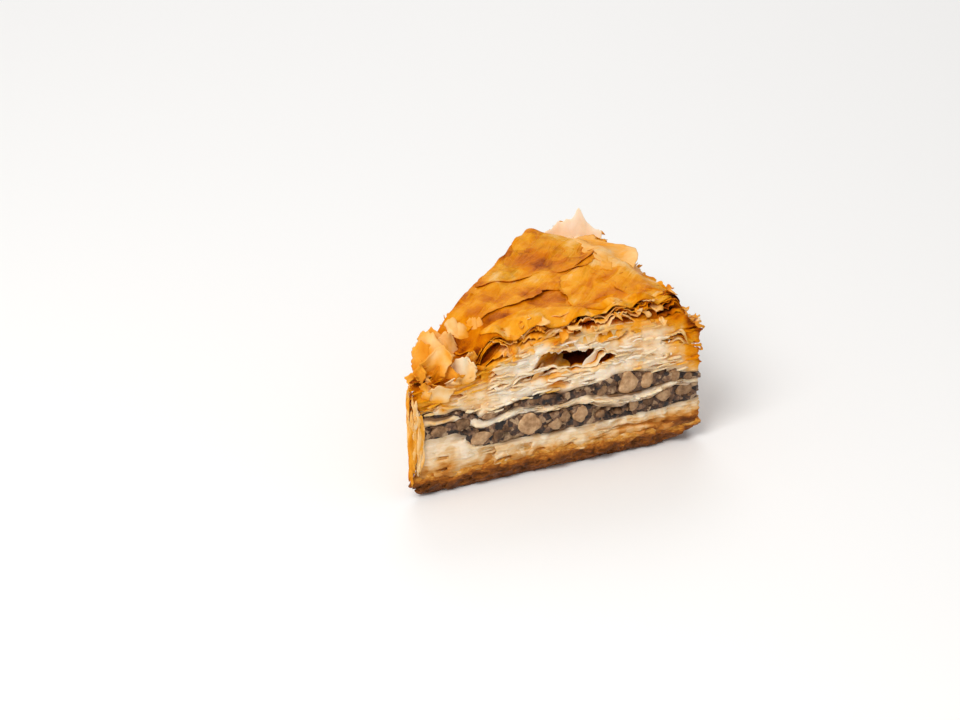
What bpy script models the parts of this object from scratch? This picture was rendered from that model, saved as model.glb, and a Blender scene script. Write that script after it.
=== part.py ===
"""A triangular piece of baklava, standing on its base, in metres with +Z up.

A square of baklava cut along its diagonal gives a right-angled triangle. The origin is the
incentre of that triangle on the base, so a constant inset of the outline is a plain scaling.
The front cut face lies at -Y, the side cut face at +X, and the diagonal face at -X +Y.
Five slabs lie on each other: base pastry, walnut, middle pastry, walnut, top pastry.
"""

import math

import bpy
import numpy as np

MM = 0.001

# Footprint, in millimetres.
FRONT_LEG = 75.4
SIDE_LEG = 71.5
DIAGONAL = math.hypot(FRONT_LEG, SIDE_LEG)
INRADIUS = (FRONT_LEG + SIDE_LEG - DIAGONAL) / 2
CORNER_POWER = 34.0  # higher is a sharper corner
FACE_ANGLES = (
    math.radians(-90),  # front
    math.radians(0),  # side
    math.pi - math.atan2(FRONT_LEG, SIDE_LEG),  # diagonal
)
FRONT, SIDE, CUT = 0, 1, 2

# Heights, in millimetres.
BASE_THICK = 10.0
BASE_LIFT = 4.5  # how much the walnut climbs towards the sharp front corner
WALNUT_THICK = 3.0
MIDDLE_THICK = 1.9
UPPER_WALNUT_THICK = 1.2
CROWN = 37.6
FRONT_WALL = 31.0
SIDE_WALL = 27.5
CUT_WALL = 36.6
CORNER_WALL = 27.5
SINK = 6.4  # how far the crown drops towards the back corner, along the diagonal
CURL = 2.6  # how far the bottom rim lifts at the right-angled corner
FOOT_INSET = 1.6  # where the rounded rim meets the flat underside, mid-side
FOOT_BOW = 0.0006  # how fast that inset grows towards the corners, per millimetre
GAP = 0.3  # between two slabs

LEAF_THICK = 0.7
COLUMNS = 64


def ramp(value, start, end):
    """Smooth step from 0 at start to 1 at end."""
    t = np.clip((value - start) / (end - start), 0.0, 1.0)
    return t * t * (3.0 - 2.0 * t)


def bump(value, centre, width):
    return np.exp(-(((value - centre) / width) ** 2))


def round_edge(distance, width, power=2.0):
    """Quarter superellipse from 0 at the edge to 1 at the given width."""
    u = np.clip(distance / width, 0.0, 1.0)
    return (1.0 - (1.0 - u) ** power) ** (1.0 / power)


def soft_min(*heights, sharpness=1.1):
    stack = np.stack(np.broadcast_arrays(*heights))
    return -np.log(np.exp(-sharpness * (stack - CROWN)).sum(axis=0)) / sharpness + CROWN


def outline(theta, inset=0.0):
    """Radius of the rounded triangle in each direction."""
    total = np.zeros_like(theta)
    for angle in FACE_ANGLES:
        total += (np.maximum(0.0, np.cos(theta - angle)) / (INRADIUS - inset)) ** CORNER_POWER
    return total ** (-1.0 / CORNER_POWER)


def directions(count):
    """Angles that split the outline into equal lengths."""
    fine = np.linspace(-math.pi, math.pi, 4001)
    radius = outline(fine)
    x, y = radius * np.cos(fine), radius * np.sin(fine)
    length = np.concatenate([[0.0], np.cumsum(np.hypot(np.diff(x), np.diff(y)))])
    return np.interp(np.arange(count) * length[-1] / count, length, fine)


def face_distances(x, y):
    """Distance from each of the three faces, inwards."""
    return [INRADIUS - (x * math.cos(a) + y * math.sin(a)) for a in FACE_ANGLES]


def along_front(x):
    """Distance along the front face from the sharp front corner."""
    return x + FRONT_LEG - INRADIUS


def along_cut(x, y):
    """Distance along the diagonal face from the sharp front corner."""
    a = math.atan2(SIDE_LEG, FRONT_LEG)
    return (x + FRONT_LEG - INRADIUS) * math.cos(a) + (y + INRADIUS) * math.sin(a)


def drift(x, y):
    """Station along the layers: the waves swing to one side as they run through the piece."""
    depth = face_distances(x, y)[FRONT]
    return along_front(x) + 4.0 * np.sin(depth / 11.0)


def layer_1(x, y):
    """Top of the base pastry, higher towards the sharp front corner."""
    s, depth = drift(x, y), face_distances(x, y)[FRONT]
    lift = BASE_LIFT * ramp(s, 21.0, 12.0) + 0.7 * ramp(s, 62.0, 70.0)
    return BASE_THICK + lift + 0.9 * np.sin(depth / 8.0) * ramp(depth, 0.0, 9.0)


def layer_2(x, y):
    """Top of the lower walnut."""
    s = drift(x, y)
    swell = 3.0 * bump(s, 29.0, 10.0) + 2.0 * bump(s, 44.5, 5.0) + 1.5 * bump(s, 68.0, 8.0)
    return layer_1(x, y) + WALNUT_THICK + swell


def layer_3(x, y):
    """Top of the middle pastry."""
    s = drift(x, y)
    return layer_2(x, y) + MIDDLE_THICK + 1.4 * bump(s, 52.0, 6.0) - 0.7 * bump(s, 76.0, 6.0)


def layer_4(x, y):
    """Top of the upper walnut, which thins out towards the sharp corner."""
    s = drift(x, y)
    swell = 1.9 * bump(s, 35.5, 6.0) + 4.1 * bump(s, 56.5, 9.0) - 0.4 * ramp(s, 16.0, 6.0)
    return layer_3(x, y) + UPPER_WALNUT_THICK + swell


def near_right_corner(theta):
    """1 in the direction of the right-angled corner, 0 away from it."""
    return bump(theta, math.radians(-45), 0.22)


def foot_inset(theta):
    """Edge of the flat underside: bowed along each face and drawn in at the curled corner."""
    bow = FOOT_BOW * (outline(theta) ** 2 - INRADIUS**2)
    return FOOT_INSET + bow + 4.5 * near_right_corner(theta)


def rim_lift(theta):
    """Height that the bottom rim starts from, around the outline."""
    return CURL * near_right_corner(theta)


def top(x, y):
    """Domed top: steep shoulders, a slope down to the sharp corner and a sunken back corner."""
    front, side, cut = face_distances(x, y)
    s, t = along_front(x), along_cut(x, y)
    sink = SINK * ramp(t, 71.5, 84.0) * (1.0 - 0.55 * ramp(cut, 3.0, 16.0))
    crown = CROWN - sink
    crown = crown + 0.5 * np.sin(x / 6.0 + y / 9.0) * ramp(np.minimum(front, side), 3.0, 9.0)
    crown = crown + 1.2 * bump(t, 72.0, 3.5) * bump(cut, 2.0, 4.0)
    width = 8.0 + 12.0 * ramp(s, 36.0, 16.0)
    front_power = 2.0 - 0.75 * ramp(s, 34.0, 18.0)
    front_wall = FRONT_WALL - 3.0 * ramp(s, 30.0, 14.0) - 3.5 * ramp(s, 62.0, 74.0)
    rise_front = front_wall + (crown - front_wall) * round_edge(front, width, front_power)
    rise_side = SIDE_WALL + (crown - SIDE_WALL) * round_edge(side, 12.0, 1.25)
    rise_cut = CUT_WALL - sink + (crown + sink - CUT_WALL) * round_edge(cut, 2.0)
    to_corner = np.hypot(x + FRONT_LEG - INRADIUS, y + INRADIUS)
    rise_corner = CORNER_WALL + (CROWN - CORNER_WALL) * round_edge(to_corner - 1.2, 11.0, 1.7)
    return soft_min(rise_front + 0.4, rise_side + 0.4, rise_cut + 0.8, rise_corner + 0.6)


def ring(theta, inset, height):
    """One ring of points at an inset from the outline, at the height of a surface or a number."""
    radius = outline(theta) * (1.0 - inset / INRADIUS)
    x, y = radius * np.cos(theta), radius * np.sin(theta)
    z = height(x, y) if callable(height) else np.full_like(x, height)
    return np.stack([x, y, z], axis=1)


def make_mesh(name, points, faces):
    mesh = bpy.data.meshes.new(name)
    mesh.from_pydata((points * MM).tolist(), [], faces)
    mesh.update()
    obj = bpy.data.objects.new(name, mesh)
    bpy.context.scene.collection.objects.link(obj)
    return obj


def slab(name, lower, upper, lower_insets, upper_insets, shares, wall, rim=None):
    """A closed slab: rings across the underside, wall rows outside, rings across the top.

    The insets list the rings from the rim inwards, and wall(theta, share) gives the inset of
    the side wall at each share of its height. The wall starts at rim(theta) where that is given.
    """
    columns = COLUMNS
    theta = directions(columns)
    rings = [ring(theta, inset, lower) for inset in reversed(lower_insets)]
    high = ring(theta, upper_insets[0], upper)
    start = rings[-1][:, 2] if rim is None else rim(theta)
    for share in shares:
        row = ring(theta, wall(theta, share), 0.0)
        row[:, 2] = start * (1 - share) + high[:, 2] * share
        rings.append(row)
    rings += [ring(theta, inset, upper) for inset in upper_insets]
    poles = np.array([[0.0, 0.0, float(lower(0.0, 0.0))], [0.0, 0.0, float(upper(0.0, 0.0))]])
    points = np.concatenate(rings + [poles])
    faces = []
    for r in range(len(rings) - 1):
        for i in range(columns):
            j = (i + 1) % columns
            a, b = r * columns + i, r * columns + j
            # One diagonal for both sides of a seam, so that two facing slabs keep their gap.
            if r < len(lower_insets) - 1:
                faces.append((a, b, a + columns))
                faces.append((b, b + columns, a + columns))
            else:
                faces.append((a, b, b + columns))
                faces.append((a, b + columns, a + columns))
    last = (len(rings) - 1) * columns
    bottom_pole, top_pole = len(points) - 2, len(points) - 1
    for i in range(columns):
        j = (i + 1) % columns
        faces.append((j, i, bottom_pole))
        faces.append((last + i, last + j, top_pole))
    return make_mesh(name, points, faces)


def leaf(name, spine, rise, lean, width_at, rows=6, columns=9, thick=LEAF_THICK):
    """A curved sheet that stands up from the body, as a closed solid of even thickness.

    spine(u) gives the foot of the leaf, rise(u) its height, lean the direction it tips in,
    and width_at the curl of its upper part.
    """
    u = np.linspace(0.0, 1.0, columns)[None, :]
    v = np.linspace(0.0, 1.0, rows)[:, None]
    foot = spine(u + 0.0 * v)
    up = rise(u + 0.0 * v) * v
    tip = width_at * v * v
    middle = np.stack([foot[0] + lean[0] * tip, foot[1] + lean[1] * tip, foot[2] + up], axis=-1)
    du = np.gradient(middle, axis=1)
    dv = np.gradient(middle, axis=0)
    normal = np.cross(du, dv)
    normal /= np.linalg.norm(normal, axis=-1, keepdims=True)
    front = (middle + normal * thick / 2).reshape(-1, 3)
    back = (middle - normal * thick / 2).reshape(-1, 3)
    points = np.concatenate([front, back])
    count = rows * columns
    faces = []
    for r in range(rows - 1):
        for c in range(columns - 1):
            a = r * columns + c
            faces.append((a, a + 1, a + columns + 1, a + columns))
            faces.append((count + a + columns, count + a + columns + 1, count + a + 1, count + a))
    rim = [c for c in range(columns)]
    rim += [r * columns + columns - 1 for r in range(1, rows)]
    rim += [(rows - 1) * columns + c for c in range(columns - 2, -1, -1)]
    rim += [r * columns for r in range(rows - 2, 0, -1)]
    for i, a in enumerate(rim):
        b = rim[(i + 1) % len(rim)]
        faces.append((b, a, count + a, count + b))
    return make_mesh(name, points, faces)


def boolean(target, other, operation):
    modifier = target.modifiers.new(other.name, "BOOLEAN")
    modifier.object = other
    modifier.operation = operation
    modifier.solver = "EXACT"
    other.hide_render = True
    other.hide_set(True)


def material(name, colour, roughness):
    made = bpy.data.materials.new(name)
    made.use_nodes = True
    shader = made.node_tree.nodes["Principled BSDF"]
    shader.inputs["Base Color"].default_value = (*colour, 1.0)
    shader.inputs["Roughness"].default_value = roughness
    return made


def wavy(amount, waves, phase):
    """Inset of a side wall that swells and shrinks around the outline."""
    return lambda theta, share: amount * (1 + np.sin(waves * theta + phase))


for old in list(bpy.data.objects):
    bpy.data.objects.remove(old)

RINGS = (0.6, 4.0, 8.5, 14.0)
DOME_RINGS = (0.4, 1.1, 2.0, 3.2, 4.8, 6.8, 9.2, 12.0, 15.2, 18.4)


def lowered(height):
    return lambda x, y: height(x, y) - GAP


def foot_wall(theta, share):
    """The rim of the base curves in towards the underside."""
    return 1.3 * (1 - share) ** 3 + 0.2 * (1 + np.sin(7 * theta))


def flat(x, y):
    return 0.0 * x


foot = (foot_inset(directions(COLUMNS)),)
base = slab("base_pastry", flat, lowered(layer_1), foot, RINGS, (0.1, 0.35, 0.75), foot_wall, rim_lift)
lower_walnut = slab("lower_walnut", layer_1, lowered(layer_2), RINGS, RINGS, (0.5,), wavy(0.15, 11, 0.4))
middle = slab("middle_pastry", layer_2, lowered(layer_3), RINGS, RINGS, (0.5,), wavy(0.1, 5, 1.0))
upper_walnut = slab("upper_walnut", layer_3, lowered(layer_4), RINGS, RINGS, (0.5,), wavy(0.15, 13, 2.0))
top_pastry = slab("top_pastry", layer_4, top, RINGS, DOME_RINGS, (0.15, 0.4, 0.7), wavy(0.15, 6, 0.0))

# The air pocket between the sheets of the front face: a flat lens that climbs to the right.
POCKET_START, POCKET_END = 28.0, 53.5
POCKET_HIGH, POCKET_DEEP = 3.8, 7.0
POCKET_FOOT, POCKET_HEAD, POCKET_ARCH = 24.0, 24.6, 2.2


def lens(name, start, end, high, deep, z_start, z_end, arch, rings=7, columns=14):
    """A flat, bent ellipsoid that reaches through the front face."""
    angle = np.arange(columns) * 2 * math.pi / columns
    share = (1 - np.cos(np.linspace(0.0, math.pi, rings + 2)[1:-1])) / 2
    size = np.sin(np.pi * share) ** 0.7
    s = start + (end - start) * share
    z = z_start + (z_end - z_start) * share + arch * np.sin(np.pi * share)
    x = s - FRONT_LEG + INRADIUS
    rows = np.stack(
        [
            np.repeat(x[:, None], columns, axis=1),
            -INRADIUS + size[:, None] * deep * np.sin(angle)[None, :],
            z[:, None] + size[:, None] * high / 2 * np.cos(angle)[None, :],
        ],
        axis=-1,
    )
    ends = np.array(
        [
            [start - FRONT_LEG + INRADIUS, -INRADIUS, z_start],
            [end - FRONT_LEG + INRADIUS, -INRADIUS, z_end],
        ]
    )
    points = np.concatenate([rows.reshape(-1, 3), ends])
    faces = []
    for r in range(rings - 1):
        for i in range(columns):
            j = (i + 1) % columns
            a, b = r * columns + i, r * columns + j
            faces.append((a, a + columns, b + columns, b))
    for i in range(columns):
        j = (i + 1) % columns
        faces.append((j, len(points) - 2, i))
        faces.append(((rings - 1) * columns + i, len(points) - 1, (rings - 1) * columns + j))
    return make_mesh(name, points, faces)


pocket = lens(
    "pocket", POCKET_START, POCKET_END, POCKET_HIGH, POCKET_DEEP, POCKET_FOOT, POCKET_HEAD, POCKET_ARCH
)
boolean(top_pastry, pocket, "DIFFERENCE")

# Loose sheets that stand clear of the body, each joined to the top pastry.


def back_foot(u):
    return (7.5 + 11.5 * u, 33.3 - 5.7 * u + 1.0 * np.sin(3 * u), 28.5 + 0.0 * u)


def back_rise(u):
    return 4.8 + 2.6 * np.sin(np.pi * u) + 2.6 * bump(u, 0.6, 0.13)


def side_foot(u):
    return (17.6 - 1.4 * u, 21.5 - 14.5 * u, 29.0 + 0.0 * u)


def side_rise(u):
    return 2.6 + 5.4 * ramp(u, 0.0, 0.9)


def flake(name, x, y, z, size, turn, high, lean, curl):
    """A small cupped flake: it stands on an arc and leans out towards the front."""

    def foot(u):
        a = math.radians(turn) + math.radians(200) * (u - 0.5)
        return (x + size * np.cos(a), y + size * np.sin(a), z + 0.0 * u)

    return leaf(name, foot, lambda u: high * (0.75 + 0.25 * np.sin(np.pi * u)), lean, curl)


leaves = [
    leaf("back_leaf", back_foot, back_rise, (0.3, 0.3), 1.0),
    leaf("side_leaf", side_foot, side_rise, (1.0, 0.0), 1.2),
    flake("flake_1", -42.0, -14.6, 28.0, 3.6, 120.0, 7.6, (-0.6, -0.8), 1.8),
    flake("flake_2", -37.2, -17.2, 27.0, 2.8, 70.0, 6.4, (0.2, -1.0), 1.8),
    flake("flake_3", -31.0, -10.6, 32.0, 2.2, 100.0, 5.6, (0.2, -0.4), 0.8),
]
for sheet in leaves:
    boolean(top_pastry, sheet, "UNION")

SUGARY = material("baked_phyllo_gold", (0.72, 0.32, 0.035), 0.35)
PALE = material("baked_phyllo_cream", (0.66, 0.46, 0.24), 0.55)
BROWN = material("baked_phyllo_base", (0.42, 0.22, 0.08), 0.5)
NUT = material("walnut_filling", (0.16, 0.09, 0.045), 0.6)
for obj, look in (
    (base, BROWN),
    (lower_walnut, NUT),
    (middle, PALE),
    (upper_walnut, NUT),
    (top_pastry, SUGARY),
):
    obj.data.materials.append(look)
    obj.data.shade_smooth()
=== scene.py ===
# %% [markdown]
# # A triangular piece of baklava
# Baklava is a stack of paper-thin phyllo sheets, brushed with butter, with beds of chopped walnut
# pressed between them. It is baked in a tray, cut, and soaked in syrup. This piece is a square
# that was cut again along its diagonal, so it has three cut faces and shows every sheet edge-on.
# The lesson builds it as a cook does: base crust, walnut, a few sheets, walnut, many sheets, and
# a torn and blistered top.

# %% Load the solid model that fixes the size and the place of everything
import math

import bpy
import numpy as np
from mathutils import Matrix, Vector


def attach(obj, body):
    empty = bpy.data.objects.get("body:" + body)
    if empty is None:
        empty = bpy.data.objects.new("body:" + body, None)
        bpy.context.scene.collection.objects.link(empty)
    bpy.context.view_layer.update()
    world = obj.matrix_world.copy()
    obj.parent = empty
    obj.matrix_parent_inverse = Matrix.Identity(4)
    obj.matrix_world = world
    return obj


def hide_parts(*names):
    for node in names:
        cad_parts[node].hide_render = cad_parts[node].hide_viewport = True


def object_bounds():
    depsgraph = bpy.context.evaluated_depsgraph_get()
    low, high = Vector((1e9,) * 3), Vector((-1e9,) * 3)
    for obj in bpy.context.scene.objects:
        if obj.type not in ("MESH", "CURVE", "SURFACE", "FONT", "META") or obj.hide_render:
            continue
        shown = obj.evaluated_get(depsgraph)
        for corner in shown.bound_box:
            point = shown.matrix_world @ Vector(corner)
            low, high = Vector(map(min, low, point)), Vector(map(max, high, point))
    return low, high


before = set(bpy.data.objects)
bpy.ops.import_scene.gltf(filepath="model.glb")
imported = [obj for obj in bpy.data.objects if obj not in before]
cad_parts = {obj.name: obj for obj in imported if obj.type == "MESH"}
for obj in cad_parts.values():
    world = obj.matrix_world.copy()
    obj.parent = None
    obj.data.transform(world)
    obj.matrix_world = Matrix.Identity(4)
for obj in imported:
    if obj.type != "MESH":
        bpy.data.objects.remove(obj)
cad_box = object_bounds()
MM = 0.001
print("solid model, mm:", [[round(v / MM, 1) for v in corner] for corner in cad_box])

# %% [markdown]
# ## The cut triangle
# The two knife cuts along the tray meet at a right angle, and the third cut is the diagonal. A
# rounded triangle can be written as one radius for each direction, seen from the centre of the
# circle that touches all three cuts. A smaller triangle inside it is then a plain scaling, which
# makes it easy to lay one sheet inside another.

# %% The outline of the piece
FRONT_LEG = 75.4
SIDE_LEG = 71.5
INRADIUS = (FRONT_LEG + SIDE_LEG - math.hypot(FRONT_LEG, SIDE_LEG)) / 2
CORNER_POWER = 34.0  # a higher power makes the corners of the triangle sharper
CUT_ANGLE = math.atan2(SIDE_LEG, FRONT_LEG)
FACES = (math.radians(-90), 0.0, math.pi - math.atan2(FRONT_LEG, SIDE_LEG))  # where each face looks
FRONT, SIDE, CUT = 0, 1, 2


def ramp(value, start, end):
    """Smooth step: 0 at start, 1 at end, with level ends."""
    t = np.clip((value - start) / (end - start), 0.0, 1.0)
    return t * t * (3.0 - 2.0 * t)


def bump(value, centre, width):
    """A single rounded hill of height 1: e to the minus squared distance over width."""
    return np.exp(-(((value - centre) / width) ** 2))


def round_edge(distance, width, power=2.0):
    """Quarter superellipse: 0 at the edge, 1 at the given width from it."""
    u = np.clip(distance / width, 0.0, 1.0)
    return (1.0 - (1.0 - u) ** power) ** (1.0 / power)


def face_terms(theta):
    """How squarely each direction looks at each of the three cut faces, to a high power."""
    return np.stack([np.maximum(0.0, np.cos(theta - a)) ** CORNER_POWER for a in FACES])


def outline(theta):
    """Radius in mm: inradius divided by the power mean of the three face terms."""
    return INRADIUS * face_terms(theta).sum(axis=0) ** (-1.0 / CORNER_POWER)


def even_directions(count):
    """Angles that split the outline into steps of equal length."""
    fine = np.linspace(-math.pi, math.pi, 8001)
    x, y = outline(fine) * np.cos(fine), outline(fine) * np.sin(fine)
    length = np.concatenate([[0.0], np.cumsum(np.hypot(np.diff(x), np.diff(y)))])
    return np.interp(np.arange(count) * length[-1] / count, length, fine)


COLUMNS = 700
PERIMETER = round(FRONT_LEG + SIDE_LEG + math.hypot(FRONT_LEG, SIDE_LEG), 1)
THETA = even_directions(COLUMNS)
RIM = outline(THETA)
SHARE = face_terms(THETA) / face_terms(THETA).sum(axis=0)  # how far each column belongs to each face
print("step round the outline, mm:", round(PERIMETER / COLUMNS, 2))


def at_inset(inset):
    """Plan position of the outline drawn in by an inset in mm: the radius times 1 - inset / inradius."""
    radius = RIM * (1.0 - inset / INRADIUS)
    return radius * np.cos(THETA), radius * np.sin(THETA)


def direction_at(part):
    """Direction at a share of the way round the outline, which may run on past both ends."""
    turns = np.concatenate([THETA - 2 * math.pi, THETA, THETA + 2 * math.pi])
    return np.interp(part, np.arange(-COLUMNS, 2 * COLUMNS) / COLUMNS, turns)


# %% Distances that the shapes are written in
def insets(x, y):
    """Distance from each cut face, inwards."""
    return [INRADIUS - (x * math.cos(a) + y * math.sin(a)) for a in FACES]


def along_front(x):
    """Distance along the front cut from its sharp corner."""
    return x + FRONT_LEG - INRADIUS


def along_cut(x, y):
    """Distance along the diagonal cut from the same corner."""
    return along_front(x) * math.cos(CUT_ANGLE) + (y + INRADIUS) * math.sin(CUT_ANGLE)


def from_sharp_corner(x, y):
    """Distance in plan from that corner."""
    return np.hypot(along_front(x), y + INRADIUS)


print("the diagonal cut is", round(math.hypot(FRONT_LEG, SIDE_LEG), 1), "mm long")

# %% [markdown]
# ## Repeatable unevenness
# Nothing in baked food is regular, so every surface needs noise that stays the same on each run.
# Value noise is the simplest: a random number at each point of a lattice, blended smoothly in
# between. Adding finer lattices at lower strength gives the look of crumb and crumple.


# %% Lattice noise
def lattice(i, j, k, seed):
    """A repeatable number from -1 to 1 for each whole-number point, by mixing its digits."""
    h = (i * 374761393 + j * 668265263 + k * 1103515245 + seed * 144269504) & 0xFFFFFFFF
    h = ((h ^ (h >> 13)) * 1274126177) & 0xFFFFFFFF
    h = ((h ^ (h >> 16)) * 668265263) & 0xFFFFFFFF
    return (h ^ (h >> 15)) / float(0x7FFFFFFF) - 1.0


def noise(x, y, z, cell, seed=0):
    """Smooth value noise with one lattice step every cell mm: the eight corners, blended."""
    x, y, z = np.broadcast_arrays(x / cell, y / cell, z / cell)
    i, j, k = (np.floor(v).astype(np.int64) for v in (x, y, z))
    u, v, w = (f * f * (3 - 2 * f) for f in (x - i, y - j, z - k))
    total = 0.0
    for a in (0, 1):
        for b in (0, 1):
            for c in (0, 1):
                weight = (u if a else 1 - u) * (v if b else 1 - v) * (w if c else 1 - w)
                total = total + weight * lattice(i + a, j + b, k + c, seed)
    return total


def rough(x, y, z, cell, octaves=3, seed=0, fall=0.5):
    """Noise at cell, cell / 2, cell / 4 ... each at fall times the strength of the last."""
    return sum(noise(x, y, z, cell / 2**n, seed + 31 * n) * fall**n for n in range(octaves))


def ridged(x, y, z, cell, seed=0):
    """Sharp creases: 1 minus the size of the noise, so that it peaks where the noise is zero."""
    return 1.0 - 2.0 * np.abs(noise(x, y, z, cell, seed))


sample = noise(np.arange(1000) * 0.37, 0.0, 0.0, 1.0)
print("noise runs from", round(float(sample.min()), 2), "to", round(float(sample.max()), 2))

# %% [markdown]
# ## The layers
# The beds of walnut are not flat. Each layer is a height over the plan, built on the one below it,
# so that a thick lump of nut lifts every sheet above it. These are the same formulas and sizes
# as in the solid model, so that the dressed piece fills it.

# %% Heights of the layers, in mm
BASE_THICK, BASE_LIFT = 10.0, 4.5
WALNUT_THICK, MIDDLE_THICK, UPPER_WALNUT_THICK = 3.0, 1.9, 1.2
CROWN, SINK = 37.6, 6.4  # highest point, and how far the back corner lies below it
FRONT_WALL, SIDE_WALL, CUT_WALL, CORNER_WALL = 31.0, 27.5, 36.6, 27.5  # where each wall ends


def drift(x, y):
    """Station along the layers: the waves swing to one side as they run through the piece."""
    return along_front(x) + 4.0 * np.sin(insets(x, y)[FRONT] / 11.0)


def layer_1(x, y):
    """Top of the base, higher towards the sharp front corner."""
    s, depth = drift(x, y), insets(x, y)[FRONT]
    lift = BASE_LIFT * ramp(s, 21.0, 12.0) + 0.7 * ramp(s, 62.0, 70.0)
    return BASE_THICK + lift + 0.9 * np.sin(depth / 8.0) * ramp(depth, 0.0, 9.0)


def layer_2(x, y):
    """Top of the lower walnut, with swells where big nuts lie."""
    s = drift(x, y)
    swell = 3.0 * bump(s, 29.0, 10.0) + 2.0 * bump(s, 44.5, 5.0) + 1.5 * bump(s, 68.0, 8.0)
    return layer_1(x, y) + WALNUT_THICK + swell


def layer_3(x, y):
    """Top of the middle pastry."""
    s = drift(x, y)
    return layer_2(x, y) + MIDDLE_THICK + 1.4 * bump(s, 52.0, 6.0) - 0.7 * bump(s, 76.0, 6.0)


def layer_4(x, y):
    """Top of the upper walnut, which thins out towards the sharp corner."""
    s = drift(x, y)
    swell = 1.9 * bump(s, 35.5, 6.0) + 4.1 * bump(s, 56.5, 9.0) - 0.4 * ramp(s, 16.0, 6.0)
    return layer_3(x, y) + UPPER_WALNUT_THICK + swell


def soft_min(*heights, sharpness=1.1):
    """The lowest of several heights, with the creases between them rounded."""
    stack = np.stack(np.broadcast_arrays(*heights))
    return -np.log(np.exp(-sharpness * (stack - CROWN)).sum(axis=0)) / sharpness + CROWN


def dome(x, y):
    """The top: steep shoulders, a slope to the sharp corner and a sunken back corner."""
    front, side, cut = insets(x, y)
    s, t = along_front(x), along_cut(x, y)
    sink = SINK * ramp(t, 71.5, 84.0) * (1.0 - 0.55 * ramp(cut, 3.0, 16.0))
    crown = CROWN - sink
    crown = crown + 0.5 * np.sin(x / 6.0 + y / 9.0) * ramp(np.minimum(front, side), 3.0, 9.0)
    crown = crown + 1.2 * bump(t, 72.0, 3.5) * bump(cut, 2.0, 4.0)
    width = 8.0 + 12.0 * ramp(s, 36.0, 16.0)
    front_power = 2.0 - 0.75 * ramp(s, 34.0, 18.0)
    front_wall = FRONT_WALL - 3.0 * ramp(s, 30.0, 14.0) - 3.5 * ramp(s, 62.0, 74.0)
    rise_front = front_wall + (crown - front_wall) * round_edge(front, width, front_power)
    rise_side = SIDE_WALL + (crown - SIDE_WALL) * round_edge(side, 12.0, 1.25)
    rise_cut = CUT_WALL - sink + (crown + sink - CUT_WALL) * round_edge(cut, 2.0)
    to_corner = from_sharp_corner(x, y)
    rise_corner = CORNER_WALL + (CROWN - CORNER_WALL) * round_edge(to_corner - 1.2, 11.0, 1.7)
    return soft_min(rise_front + 0.4, rise_side + 0.4, rise_cut + 0.8, rise_corner + 0.6)


WALL = dome(*at_inset(0.4))
print("wall heights, mm:", round(float(WALL.min()), 1), "to", round(float(WALL.max()), 1))

# %% [markdown]
# ## Turning grids into closed pieces
# Every sheet here is a grid of points, with a top side and an underside that meet at the rim, so
# that it has a real thickness and no open edge. Whole arrays of points and faces go to Blender at
# once. Two numbers ride on each point. On pastry, toast says how far it has browned, and it also
# carries painted light and shade in gaps, hollows and folds; cut says how far walnut has stained it,
# with some painted shade in the middle pastry. On a nut, cut is 1 where it was sliced, and toast
# says how pale it is.


# %% Grids to meshes
def grid_faces(rows, columns, wrap_columns=True, wrap_rows=False):
    """Quads between neighbours of a grid, joined end to end where a direction wraps."""
    r = np.arange(rows if wrap_rows else rows - 1)
    c = np.arange(columns if wrap_columns else columns - 1)
    r, c = np.meshgrid(r, c, indexing="ij")
    next_row, next_column = (r + 1) % rows, (c + 1) % columns
    corners = (r * columns + c, next_row * columns + c)
    corners += (next_row * columns + next_column, r * columns + next_column)
    return np.stack(corners, axis=-1).reshape(-1, 4)


def joined(parts):
    """Several (points, faces, toast, cut) shapes as one, by counting the face numbers on."""
    starts = np.cumsum([0] + [len(p[0]) for p in parts[:-1]])
    points = np.concatenate([p[0] for p in parts])
    faces = np.concatenate([np.where(p[1] < 0, -1, p[1] + start) for p, start in zip(parts, starts)])
    return points, faces, np.concatenate([p[2] for p in parts]), np.concatenate([p[3] for p in parts])


def shape(points, faces, toast, cut=0.0):
    """A shape with its two numbers on every point, faces padded to quads with -1."""
    points = points.reshape(-1, 3)
    spread = [np.broadcast_to(np.asarray(v, float).reshape(-1), len(points)) for v in (toast, cut)]
    return points, faces, spread[0], spread[1]


print("a 3 by 4 grid joined round has", len(grid_faces(3, 4)), "faces")


# %% From arrays to a Blender object
def make_piece(name, parts, material, nodes):
    """One Blender object from shapes in mm; a face with -1 as its last corner is a triangle."""
    points, faces, toast, cut = joined(parts)
    triangles = faces[:, 3] < 0
    sizes = np.where(triangles, 3, 4)
    mesh = bpy.data.meshes.new(name)
    mesh.vertices.add(len(points))
    mesh.vertices.foreach_set("co", (points * MM).astype(np.float32).ravel())
    mesh.loops.add(int(sizes.sum()))
    mesh.loops.foreach_set("vertex_index", faces[faces >= 0].astype(np.int32))
    mesh.polygons.add(len(faces))
    starts = np.concatenate([[0], np.cumsum(sizes)[:-1]])
    mesh.polygons.foreach_set("loop_start", starts.astype(np.int32))
    mesh.polygons.foreach_set("use_smooth", np.ones(len(faces), bool))
    for label, values in (("toast", toast), ("cut", cut)):
        layer = mesh.attributes.new(label, "FLOAT", "POINT")
        layer.data.foreach_set("value", values.astype(np.float32))
    mesh.update(calc_edges=True)
    mesh.validate()
    mesh.materials.append(material)
    piece = bpy.data.objects.new(name, mesh)
    bpy.context.scene.collection.objects.link(piece)
    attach(piece, "root")
    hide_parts(*nodes)
    print(name, int((sizes - 2).sum()), "triangles")


# %% Sheets with a thickness
def closed_band(rows, toast, cut=0.0):
    """A band whose cross-section is a closed loop of rows, joined round the outline as well."""
    count, columns = rows.shape[:2]
    return shape(rows, grid_faces(count, columns, True, True), toast, cut)


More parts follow.
